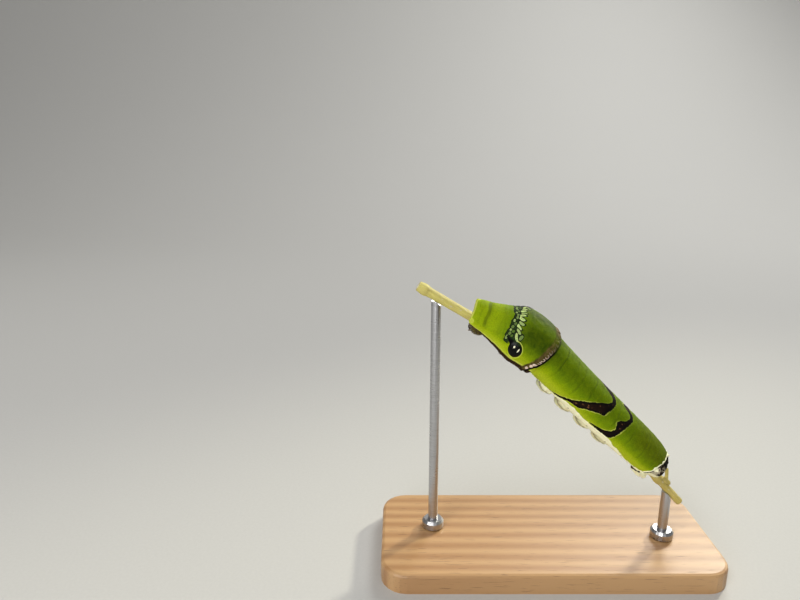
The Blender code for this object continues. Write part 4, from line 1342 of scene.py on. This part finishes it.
def build_feelers():
    """Feelers of three joints with a bristle, palps and the spinneret."""
    joints, bristles = [], []
    for side in (1, -1):
        start = head_point(4.75, 180 - side * 52, -0.10)
        out = head_out(4.75, 180 - side * 52)
        drift = SPINE.directions(np.array(2.2))
        out = unit(out * 0.75 - drift[0] * 0.45 - drift[2] * 0.55)
        for length, radii in ((0.22, (0.25, 0.22)), (0.24, (0.17, 0.15)), (0.12, (0.10, 0.07))):
            joints.append(rod(start, out, length, (radii[0], sum(radii) / 2, radii[1]), 18))
            start = start + out * (length + 0.02)
        bristle_path = curved([start, start + out * 0.2, start + out * 0.35 - drift[2] * 0.1], 6)
        bristles.append(swept(bristle_path, (0.016, 0.014, 0.012, 0.010, 0.008, 0.004), 6))
        start = head_point(5.45, 180 - side * 100, -0.05)
        for length, radius in ((0.26, 0.19), (0.20, 0.13), (0.14, 0.08)):
            line = unit(-drift[2] * 0.8 - drift[0] * 0.4)
            joints.append(rod(start, line, length, (radius, radius * 0.95, radius * 0.8), 14))
            start = start + line * (length + 0.01)
    base = SPINE.place((2.35, 0.0, -4.80))
    line = SPINE.place((2.00, 0.0, -5.35)) - base
    joints.append(rod(base, line, 1.0, (0.15, 0.10, 0.035), 14))
    palps = small_part("feelers_and_palps", joints, "leg_shell")
    return [palps, small_part("feeler_bristles", bristles, "pale_bristle")]


def build_eyes():
    """Six small bead eyes on each side of the head, five in an arc and one behind it."""
    beads, rims = [], []
    for side in (1, -1):
        for level, turn in BEAD_EYES:
            centre = head_point(level, side * turn, -0.01)
            out = head_out(level, side * turn)
            beads.append(bead(centre, out, *BEAD_SIZE, 18, 7))
            rims.append(bead(centre - out * 0.02, out, *BEAD_RIM_SIZE, 18, 4))
    return [small_part("bead_eyes", beads, "eye_bead"), small_part("bead_eye_rims", rims, "leg_shell")]


def leg_paths():
    """Joint points of each true leg in body coordinates for the left side."""
    made = []
    for number, place, length in TRUE_LEGS:
        along, left, up = skin(place, LEG_ROOT_ANGLE, -0.25)
        knee = 0.25 + 0.15 * number
        points = (
            (along, left, up), (along + 0.02, left + knee * 0.55, up - 0.42 * length),
            (along + 0.05, left + knee * 1.05, up - 0.68 * length),
            (along - 0.10, left + knee * 0.75, up - 0.92 * length),
            (along - 0.45, left - knee * 0.15, up - 1.12 * length),
        )
        made.append((number, points))
    return made


def build_true_legs():
    """Three pairs of jointed legs: hip, thigh, shin and foot with a curved claw, on pale joint skin."""
    pieces = []
    for number, points in leg_paths():
        for side, word in ((1, "left"), (-1, "right")):
            spots = [SPINE.place(np.array(point) * (1, side, 1)) for point in points]
            shells, joints = [], []
            for k, (wide, thin) in enumerate(LEG_RADII):
                start, end = spots[k], spots[k + 1]
                gap = (end - start) * 0.07
                t = np.linspace(0, 1, 9)
                swell = wide + (thin - wide) * t + 0.035 * np.sin(math.pi * t)
                swell[0], swell[-1] = wide * 0.86, thin * 0.86
                path = start + gap + (end - start - 2 * gap) * t[:, None]
                shells.append(swept(path, swell, 22, 0.9))
                joints.append(bead(start + gap * 0.2, end - start, wide * 0.80, wide * 0.5, 18, 5))
            tip = spots[-1]
            foot = tip - spots[-2]
            back = SPINE.directions(np.array(points[-1][0]))[0]
            claw = [tip - foot * 0.15, tip + foot * 0.20, tip + foot * 0.30 + back * 0.16]
            horn = swept(curved(claw, 8), np.linspace(0.10, 0.012, 8), 10)
            leg = small_part(f"true_leg_{number}_{word}", shells, "leg_shell")
            skin_piece = small_part(f"true_leg_joints_{number}_{word}", joints, "joint_skin")
            tip_piece = make_object(f"true_leg_claw_{number}_{word}", *horn, horn_material("dark_horn"))
            ride_all([leg], [f"leg_{number}_{word}"])
            ride_all([skin_piece, tip_piece])
            pieces += [leg, skin_piece, tip_piece]
    return pieces


def build_hooks(count):
    """An arc of small hooks along the inner edge of each proleg's sole, pointing at the stem."""
    hooks = []
    for _, rows, tip in proleg_rows():
        length = rows[-1][3]
        for side in (1, -1):
            for k in range(count):
                a = math.pi * (0.12 + 0.76 * k / (count - 1))
                c, s = math.cos(a), math.sin(a)
                root = (tip[0] + length * 0.74 * c, tip[1] - 0.02 - 0.13 * s, tip[2] + 0.16 - 0.06 * s)
                path = np.array(root) + np.array(HOOK_LINE) * HOOK_SIZES[k % 2]
                path[:, 1] *= side
                hooks.append(swept(SPINE.place(curved(path, 7)), np.linspace(0.035, 0.008, 7), 6))
    return small_part("proleg_hooks", hooks, "dark_horn")


def bristle(rng, root, out, shortest, longest):
    """One short tapered hair of a random length and sway."""
    length = rng.uniform(shortest, longest)
    bend = rng.normal(size=3) * HAIR_SWAY
    tip = root + out * length + bend * length * 0.35
    path = curved([root - out * 0.05, root + out * length * 0.55, tip], 4)
    return swept(path, (HAIR_RADIUS, HAIR_RADIUS * 0.8, HAIR_RADIUS * 0.5, HAIR_RADIUS * 0.12), 3)


def build_bristles(amount, seed):
    """Short hairs on the head, the lower sides and the prolegs."""
    rng = np.random.default_rng(seed)
    hairs = []
    for _ in range(int(amount * HEAD_HAIRS)):
        level, turn = rng.uniform(1.6, 5.2), rng.uniform(25, 335)
        if abs(turn - 180) < 6:
            continue
        hairs.append(bristle(rng, head_point(level, turn), head_out(level, turn), 0.18, 0.42))
    for _ in range(int(amount * SIDE_HAIRS)):
        along = rng.uniform(2.0, BODY_LENGTH - 2.5)
        angle = -rng.uniform(8, 48)
        side = rng.choice((1, -1))
        spot = np.array((1, side, 1))
        root = SPINE.place(skin(along, angle, 0.0) * spot)
        out = unit(SPINE.place(skin(along, angle, 0.5) * spot) - root)
        hairs.append(bristle(rng, root, out, 0.25, 0.55))
    for _, rows, _ in proleg_rows():
        for _ in range(int(amount * PROLEG_HAIRS)):
            side = rng.choice((1, -1))
            at = rng.uniform(1.2, len(rows) - 1.1)
            a = math.radians(rng.uniform(20, 160))
            along, left, up, length, thickness, lean = (float(value) for value in columns(rows, at))
            lean = math.radians(lean)
            spot, middle = np.array((1, side, 1)), np.array((along, left, up))
            high = thickness * math.sin(a)
            off = np.array((length * math.cos(a), high * math.cos(lean), high * math.sin(lean)))
            root = SPINE.place((middle + off) * spot)
            out = unit(SPINE.place((middle + off * 1.4) * spot) - root)
            hairs.append(bristle(rng, root, out, 0.22, 0.45))
    return small_part("fine_bristles", hairs, "pale_bristle")


# Stem and stand


def stem_size(along):
    """Radius of the stem, swollen at its nodes."""
    swell = sum(0.22 * bump(along, node, 0.9) for node in STEM_NODES)
    return through(STEM_RADIUS, along) + swell


def stem_material():
    """Young bark that turns from green to ochre, with long fibres, pale pores and dry scars."""
    pick = settings()
    material, shader, principled = new_material("stem_bark")
    along = shader.held("along")
    turn = shader.held("turn")
    patch = shader.mottle(1.6, 0.6)
    fine = shader.mottle(0.14, 0.7)
    fibre = shader.flat(shader.times(along, 0.35), shader.times(turn, 0.16))
    fibre = shader.noise(fibre, 1.0, 5.0)
    lines = shader.smooth(fibre, 0.38, 0.62)
    colour = shader.mix(shader.smooth(along, 30.0, 52.0), pick.stem_green, pick.stem_ochre)
    colour = shader.tint(colour, pick.stem_tan, patch, 0.35)
    colour = shader.tint(colour, pick.stem_dark, lines, 0.28)
    colour = shader.tint(colour, pick.stem_tan, fine, 0.2)
    pore = shader.held("pore")
    colour = shader.mix(shader.smooth(pore, 0.25, 0.6), colour, pick.stem_pale)
    cut = shader.held("cut")
    colour = shader.mix(shader.smooth(cut, 0.2, 0.6), colour, pick.stem_pale)
    pith = shader.held("pith")
    colour = shader.mix(shader.smooth(pith, 0.4, 0.6), colour, pick.side_white)
    grain = shader.grain(0.22, 0.5, shader.times(lines, 1.2))
    shader.fill(principled, Base_Color=colour, Roughness=shader.scaled(lines, 0.18, 0.48), Normal=grain)
    return material


def stem_axis():
    """Distance along, centre and direction of the stem at close steps, with its bends rounded."""
    alongs, points = stem_path(SPINE)
    fine = np.arange(alongs[0], alongs[-1], STEM_SPACING)
    centres = np.stack([np.interp(fine, alongs, points[:, k]) for k in range(3)], axis=1)
    kernel = np.hanning(17) / np.hanning(17).sum()
    padded = np.concatenate([np.repeat(centres[:1], 8, 0), centres, np.repeat(centres[-1:], 8, 0)])
    inner = np.stack([np.convolve(padded[:, k], kernel, "valid") for k in range(3)], axis=1)
    blend = ease(np.minimum(np.arange(len(fine)), np.arange(len(fine))[::-1]), 2, 12)[:, None]
    centres = centres + (inner - centres) * blend
    lines = np.gradient(centres, axis=0)
    return fine, centres, lines / np.linalg.norm(lines, axis=1)[:, None]


def stem_surface(fine, turns):
    """Radius of the stem and depth of its pores, by step and turn."""
    rng = np.random.default_rng(41)
    pores = [
        (rng.uniform(fine[0] + 1, fine[-1] - 1), rng.uniform(0, 2 * math.pi), rng.uniform(0.10, 0.20))
        for _ in range(PORE_COUNT)
    ]
    radius = stem_size(fine)[:, None] * np.ones(len(turns))
    radius = radius + 0.022 * np.cos(5 * turns + 0.02 * fine[:, None]) - 0.022
    length, count = np.repeat(fine, len(turns)) * 0.25, len(fine)
    flat = np.stack([length, np.tile(np.cos(turns), count), np.tile(np.sin(turns), count)], axis=1)
    radius = radius + 0.012 * ripple(flat, 0.7, 42).reshape(radius.shape)
    pore = np.zeros_like(radius)
    for place, turn, size in pores:
        rows = np.abs(fine - place) < 1.0
        off = np.angle(np.exp(1j * (turns - turn))) * 0.85
        near = np.exp(-(((fine[rows, None] - place) / (size * 1.7)) ** 2) - (off / size) ** 2)
        pore[rows] = np.maximum(pore[rows], near)
    radius = radius + 0.035 * pore
    for node in STEM_NODES:
        groove, ridge = bump(fine, node + 0.75, 0.12), bump(fine, node + 0.55, 0.15)
        radius = radius - 0.05 * groove[:, None] + 0.03 * ridge[:, None]
    return radius, pore


def stem_cut(ring, centre, out):
    """Rings of a cut end, from its rounded edge to the sunk pith."""
    steps = ((0.93, 0.05), (0.80, 0.05), (0.50, 0.02), (0.42, -0.05), (0.20, -0.06))
    return [centre + (ring - centre) * part + out * depth for part, depth in steps]


def leaf_stub(root, line, rise):
    """The bud and the stub of a leaf stalk at the rear node."""
    path = [
        root - line * 0.7, root + line * 0.4 + rise * 0.55, root + line * 1.6 + rise * 0.95,
        root + line * 2.35 + rise * 1.0,
    ]
    bud = swept(curved(path, 14), read_radii(14, (0, 0.4, 0.8, 1), (0.55, 0.66, 0.42, 0.12)), 20)
    tip = root + line * 0.6 + rise * STUB_LENGTH * 0.8 - line * STUB_LENGTH * 0.45
    path = [root + line * 0.9 + rise * 0.2, root + line * 0.75 + rise * 1.3, tip + line * 0.12, tip]
    stalk = swept(curved(path, 16), read_radii(16, (0, 0.3, 0.9, 1), (0.52, 0.36, 0.28, 0.25)), 18, 0.8)
    return joined([bud, stalk])


def build_stem():
    """The cut stem with ridges, pores, swollen nodes, cut ends with pith, and the stub of a leaf stalk."""
    fine, centres, lines = stem_axis()
    side = np.cross(lines, (0.0, 1.0, 0.0))
    side /= np.linalg.norm(side, axis=1)[:, None]
    across = np.cross(lines, side)
    sides = STEM_SIDES
    a = 2 * math.pi * np.arange(sides) / sides
    radius, pore = stem_surface(fine, a)
    rings = centres[:, None] + radius[..., None] * (
        np.cos(a)[:, None] * side[:, None] + np.sin(a)[:, None] * across[:, None]
    )
    front = stem_cut(rings[0], centres[0], -lines[0])[::-1]
    rear = stem_cut(rings[-1], centres[-1], lines[-1])
    all_rings = np.array([*front, *rings, *rear])
    form = lofted(all_rings, front[0].mean(axis=0), rear[-1].mean(axis=0))

    spot = int(np.argmin(np.abs(fine - STUB_PLACE)))
    root, line = centres[spot], lines[spot]
    rise = unit(np.cross(line, (0.0, 1.0, 0.0)))
    stub = leaf_stub(root, line, rise)
    stem = make_object("cut_stem", *joined([form, stub]), stem_material(), 50.0)

    def spread(rows, extra):
        return np.concatenate([rows, [rows[0], rows[-1]], np.ones(len(stub[0])) * extra])

    count = len(front)
    along = np.concatenate([np.full(count, fine[0]), fine, np.full(count, fine[-1])])
    cut = np.concatenate([np.ones(count), np.zeros(len(fine)), np.ones(count)])
    pith = np.concatenate([(1, 1, 0, 0, 0), np.zeros(len(fine)), (0, 0, 0, 1, 1)])
    pore = np.concatenate([np.zeros((count, sides)), pore, np.zeros((count, sides))])
    reach = (stub[0] - root) @ rise
    sideways = (stub[0] - root) @ np.array((0.0, 1.0, 0.0))
    round_stub = np.degrees(np.arctan2(sideways, (stub[0] - root) @ line - 1.0))
    turn = np.tile(np.degrees(a), len(all_rings))
    kept = {
        "along": spread(np.repeat(along, sides), 53.0 - 4.0 * reach), "turn": spread(turn, round_stub),
        "pore": spread(pore.ravel(), 0.0), "cut": spread(np.repeat(cut, sides), 0.0),
        "pith": spread(np.repeat(pith, sides), 0.0),
    }
    keep_values(stem.data, kept)
    return stem


def wood_material():
    """Oiled wood with long growth lines, pores and a satin finish."""
    pick = settings()
    material, shader, principled = new_material("oiled_wood", Coat_Weight=0.12, Coat_Roughness=0.3)
    place = shader.place((60.0, 620.0, 620.0))
    bend = shader.noise(place, 0.35, 3.0)
    rings = shader.node(
        "TexWave", {"Vector": place, "Scale": 0.16, "Distortion": 4.5, "Detail": 3.0, "Detail Scale": 0.6},
        bands_direction="Y",
    ).outputs["Fac"]
    grain = shader.place((260.0, 5200.0, 5200.0))
    fibres = shader.noise(grain, 1.0, 4.0)
    colour = shader.tint(pick.wood_light, pick.wood_dark, rings, 0.75)
    colour = shader.tint(colour, pick.wood_light, bend, 0.35)
    pores = shader.smooth(fibres, 0.60, 0.70)
    colour = shader.tint(colour, pick.wood_pore, pores, 0.55)
    height = shader.minus(shader.times(rings, 0.3), shader.times(pores, 0.7))
    bumped = shader.bump(0.35, 0.05 * MM, height)
    shader.fill(principled, Base_Color=colour, Roughness=shader.scaled(fibres, 0.25, 0.30), Normal=bumped)
    return material


def steel_material():
    """Steel brushed round the rod, with faint streaks."""
    pick = settings()
    material, shader, principled = new_material("brushed_steel", Metallic=1.0)
    place = shader.place((350.0, 350.0, 9000.0))
    lines = shader.noise(place, 1.0, 3.0)
    smudge = shader.mottle(4.0, 0.5)
    colour = shader.mix(lines, pick.steel_dark, pick.steel_light)
    rough = shader.scaled(lines, 0.18, 0.18)
    bumped = shader.bump(0.12, 0.02 * MM, lines)
    shader.fill(principled, Base_Color=colour, Roughness=shader.scaled(smudge, 0.08, rough), Normal=bumped)
    return material


# Stage


def floor_material():
    """Matt pale paper with a very faint tooth."""
    pick = settings()
    material, shader, principled = new_material("studio_paper", 0.8)
    patch = shader.mottle(0.6, 0.2)
    shader.fill(principled, Base_Color=shader.mix(patch, pick.paper, pick.paper_shade))
    return material


def build_backdrop():
    """A floor that bends up into a plain wall far behind the model."""
    half, front, back, bend, top = 1.6, -1.4, 0.35, 0.45, 1.8
    line = [(front, 0.0), (back, 0.0)]
    line += [
        (back + bend * math.sin(a), bend - bend * math.cos(a)) for a in np.radians(np.linspace(8, 90, 12))
    ]
    line.append((back + bend, top))
    points = [(x, y, z) for y, z in line for x in (-half, half)]
    faces = [(2 * k, 2 * k + 1, 2 * k + 3, 2 * k + 2) for k in range(len(line) - 1)]
    mesh = bpy.data.meshes.new("studio_floor")
    mesh.from_pydata(points, [], faces)
    mesh.shade_smooth()
    mesh.materials.append(floor_material())
    placed("studio_floor", mesh)


def aimed(place, aim):
    """The turn that points a light from its place at its aim."""
    return (Vector(aim) - Vector(place)).to_track_quat("-Z", "Y").to_euler()


def build_lights():
    """Soft lights on the model and the wall, a spot on the far edge and even light all round."""
    pick = settings()
    model, wall = (0.0, 0.0, 0.035), (0.0, 0.70, 0.15)
    for name, place, aim, size, power, colour in (
        ("key_light", (-0.34, -0.36, 0.62), model, 0.30, pick.key_power, (1.0, 0.98, 0.94)),
        ("back_light", (0.34, 0.55, 0.62), model, 0.34, pick.back_power, (1.0, 1.0, 0.97)),
        ("fill_light", (-0.26, -0.44, 0.09), model, 0.30, pick.fill_power, (0.98, 0.99, 1.0)),
        ("wall_light", (0.0, -0.35, 0.95), wall, 0.60, pick.wall_power, (1.0, 1.0, 1.0)),
    ):
        lamp = bpy.data.lights.new(name, "AREA")
        lamp.shape, lamp.size, lamp.energy, lamp.color = "DISK", size, power, colour
        placed(name, lamp, place, aimed(place, aim))
    spot = bpy.data.lights.new("edge_light", "SPOT")
    spot.energy, spot.color = pick.edge_power, (1.0, 0.97, 0.78)
    spot.spot_size, spot.spot_blend, spot.shadow_soft_size = math.radians(15), 1.0, 0.05
    place = (0.62, 0.62, 0.44)
    placed("edge_light", spot, place, aimed(place, (0.0, 0.0, 0.04)))
    world = bpy.data.worlds.new("studio_air")
    bpy.context.scene.world = world
    world.use_nodes = True
    background = world.node_tree.nodes["Background"]
    background.inputs["Color"].default_value = (1.0, 1.0, 1.0, 1.0)
    background.inputs["Strength"].default_value = pick.air_strength
    bpy.context.scene.view_settings.view_transform = "Standard"


def build_camera():
    """The photo's view, sloping down a little, at the photo's distance from the larva's front rim."""
    pick = settings()
    lens = bpy.data.cameras.new("photo_camera")
    lens.lens, lens.sensor_width, lens.clip_start, lens.clip_end = pick.lens, 36.0, 0.005, 20.0
    rim = SPINE.place(np.array((0.2, 0.0, 0.0))) * MM
    place = Vector(rim) + Vector(pick.camera_offset)
    bpy.context.scene.camera = placed("photo_camera", lens, place, (math.pi / 2 - pick.camera_tilt, 0.0, 0.0))


# Settings, operators and panel


def colour_choice(name, red, green, blue):
    """A colour in the sidebar, with its default given as 0 to 255 on a screen."""
    shade = srgb(red, green, blue)
    return FloatVectorProperty(
        name=name, description=f"{name} of the model", default=shade, min=0, max=1, subtype="COLOR"
    )


def power_choice(name, description, power):
    """The power of a light in the sidebar."""
    return FloatProperty(name=name, description=description, default=power, min=0, unit="POWER")


# Colours by name, as 0 to 255 on a screen
COLOURS = {
    "yellow_green": ("Yellow-green", 162, 182, 4), "low_yellow": ("Yellow of the low flank", 186, 200, 42),
    "leaf_green": ("Leaf green", 112, 140, 3), "deep_green": ("Deep green", 46, 67, 2),
    "olive": ("Olive", 86, 96, 3), "rim_yellow": ("Pale yellow rim", 204, 208, 92),
    "side_white": ("White of the side", 252, 250, 212), "leg_grey": ("Grey of the prolegs", 186, 184, 140),
    "leg_green": ("Green of the prolegs", 202, 206, 130), "leg_brown": ("Brown of the legs", 74, 54, 32),
    "belly": ("Belly", 108, 98, 66), "side_brown": ("Brown of the sides", 42, 28, 14),
    "band_black": ("Black of the bands", 12, 8, 6), "band_brown": ("Brown of the bands", 32, 17, 9),
    "speck_brown": ("Specks of the bands", 112, 78, 48), "lace_line": ("Dark net of the lace", 12, 20, 6),
    "lace_ground": ("Dark green of the lace", 36, 54, 22), "lace_dim": ("Dim cells of the lace", 66, 92, 40),
    "lace_pale": ("Pale cells of the lace", 212, 234, 150),
    "collar_brown": ("Brown of the collar", 116, 96, 54),
    "collar_dark": ("Dark brown of the collar", 62, 46, 20),
    "collar_pale": ("Pale marks of the collar", 236, 212, 196),
    "tail_grey": ("Grey of the tail", 186, 176, 150), "eye_black": ("Black of the eyespots", 4, 3, 4),
    "head_olive": ("Olive of the head", 88, 76, 18), "head_brown": ("Brown of the head", 54, 40, 12),
    "stem_green": ("Green of the stem", 220, 210, 112), "stem_ochre": ("Ochre of the stem", 204, 186, 96),
    "stem_tan": ("Tan of the stem", 196, 176, 112), "stem_dark": ("Dark fibres of the stem", 128, 112, 46),
    "stem_pale": ("Pores of the stem", 206, 194, 146), "wood_light": ("Light wood", 190, 150, 104),
    "wood_dark": ("Dark wood", 150, 104, 62), "wood_pore": ("Wood pores", 92, 60, 34),
    "steel_light": ("Bright steel", 206, 206, 208), "steel_dark": ("Dull steel", 158, 158, 162),
    "paper": ("Paper", 192, 191, 188), "paper_shade": ("Shade of the paper", 188, 187, 184),
}


class LarvaModelSettings(PropertyGroup):
    """Sizes, amounts and colours of the model."""

    voxel: FloatProperty(
        name="Skin detail", description="Size of the skin's mesh in millimetres", default=0.085, min=0.05,
        max=0.5,
    )
    hooks: IntProperty(name="Hooks", description="Hooks on each proleg's sole", default=19, min=3, max=40)
    bristles: IntProperty(name="Bristles", description="Amount of short hairs", default=900, min=0, max=4000)
    seed: IntProperty(name="Seed", description="Seed of the hairs' places", default=11, min=0)
    key_power: power_choice("Key light", "Power of the key light", 1.85)
    back_power: power_choice("Back light", "Power of the light from behind", 3.6)
    edge_power: power_choice("Edge light", "Power of the spot on the far edge", 34.0)
    fill_power: power_choice("Fill light", "Power of the fill light", 1.15)
    wall_power: power_choice("Wall light", "Power of the light on the wall", 1.8)
    air_strength: FloatProperty(name="Air", description="Brightness all round", default=0.22, min=0)
    lens: FloatProperty(
        name="Lens", description="Focal length in millimetres", default=28.26, min=10, max=200
    )
    camera_tilt: FloatProperty(
        name="Tilt", description="Slope of the line of sight below the level", default=math.radians(15),
        subtype="ANGLE",
    )
    camera_offset: FloatVectorProperty(
        name="Camera place", description="Place of the camera from the larva's front rim",
        default=(-0.01314, -0.10751, 0.03087), subtype="TRANSLATION", unit="LENGTH",
    )


for key, colour in COLOURS.items():
    LarvaModelSettings.__annotations__[key] = colour_choice(*colour)


class LARVA_OT_skin(Operator):
    """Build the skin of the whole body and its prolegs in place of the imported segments"""

    bl_idname = "larva.skin"
    bl_label = "Body and prolegs"

    def execute(self, context):
        pick = settings()
        mesh = make_skin(pick.voxel)
        mesh.materials.append(skin_material())
        flesh = [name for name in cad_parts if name.startswith(("thorax_", "abdomen_", "proleg_"))]
        ride_all([placed("larva_skin", mesh)], flesh)
        return {"FINISHED"}


class LARVA_OT_head(Operator):
    """Build the head capsule, its mouthparts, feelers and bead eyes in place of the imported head"""

    bl_idname = "larva.head"
    bl_label = "Head"

    def execute(self, context):
        pieces = [build_capsule(), build_jaws(), build_upper_lip(), *build_feelers(), *build_eyes()]
        ride_all(pieces, ["head"])
        return {"FINISHED"}


class LARVA_OT_true_legs(Operator):
    """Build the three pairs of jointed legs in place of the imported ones"""

    bl_idname = "larva.true_legs"
    bl_label = "True legs"

    def execute(self, context):
        build_true_legs()
        return {"FINISHED"}


class LARVA_OT_hooks(Operator):
    """Build the hooks of the prolegs' soles"""

    bl_idname = "larva.hooks"
    bl_label = "Proleg hooks"

    def execute(self, context):
        ride_all([build_hooks(settings().hooks)])
        return {"FINISHED"}


class LARVA_OT_bristles(Operator):
    """Build the short hairs of the head, sides and prolegs"""

    bl_idname = "larva.bristles"
    bl_label = "Short hairs"

    def execute(self, context):
        pick = settings()
        ride_all([build_bristles(pick.bristles, pick.seed)])
        return {"FINISHED"}


class LARVA_OT_stem(Operator):
    """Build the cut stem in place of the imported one"""

    bl_idname = "larva.stem"
    bl_label = "Stem"

    def execute(self, context):
        ride_all([build_stem()], ["stem"])
        return {"FINISHED"}


class LARVA_OT_stand(Operator):
    """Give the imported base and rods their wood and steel"""

    bl_idname = "larva.stand"
    bl_label = "Stand finishes"

    def execute(self, context):
        wood, steel = wood_material(), steel_material()
        for name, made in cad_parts.items():
            if name.startswith("stand_"):
                made.material_slots[0].material = wood if name == "stand_base" else steel
        return {"FINISHED"}


class LARVA_OT_stage(Operator):
    """Build the pale floor, the soft lights and the photo's camera"""

    bl_idname = "larva.stage"
    bl_label = "Stage"

    def execute(self, context):
        build_backdrop()
        build_lights()
        build_camera()
        return {"FINISHED"}


STEPS = (
    LARVA_OT_skin, LARVA_OT_head, LARVA_OT_true_legs, LARVA_OT_hooks, LARVA_OT_bristles, LARVA_OT_stem,
    LARVA_OT_stand, LARVA_OT_stage,
)


class LARVA_PT_model(Panel):
    """The model's steps and its settings"""

    bl_idname = "LARVA_PT_model"
    bl_label = "Larva model"
    bl_space_type = "VIEW_3D"
    bl_region_type = "UI"
    bl_category = "Larva"

    def draw(self, context):
        column = self.layout.column(align=True)
        for step in STEPS:
            column.operator(step.bl_idname)
        fields = self.layout.column()
        for name in LarvaModelSettings.__annotations__:
            fields.prop(context.scene.larva_model, name)


CLASSES = (LarvaModelSettings, *STEPS, LARVA_PT_model)


def register():
    for made in CLASSES:
        bpy.utils.register_class(made)
    bpy.types.Scene.larva_model = PointerProperty(type=LarvaModelSettings)


def unregister():
    del bpy.types.Scene.larva_model
    for made in reversed(CLASSES):
        bpy.utils.unregister_class(made)


def main():
    register()
    for step in STEPS:
        group, name = step.bl_idname.split(".")
        getattr(getattr(bpy.ops, group), name)()


if __name__ == "__main__":
    main()
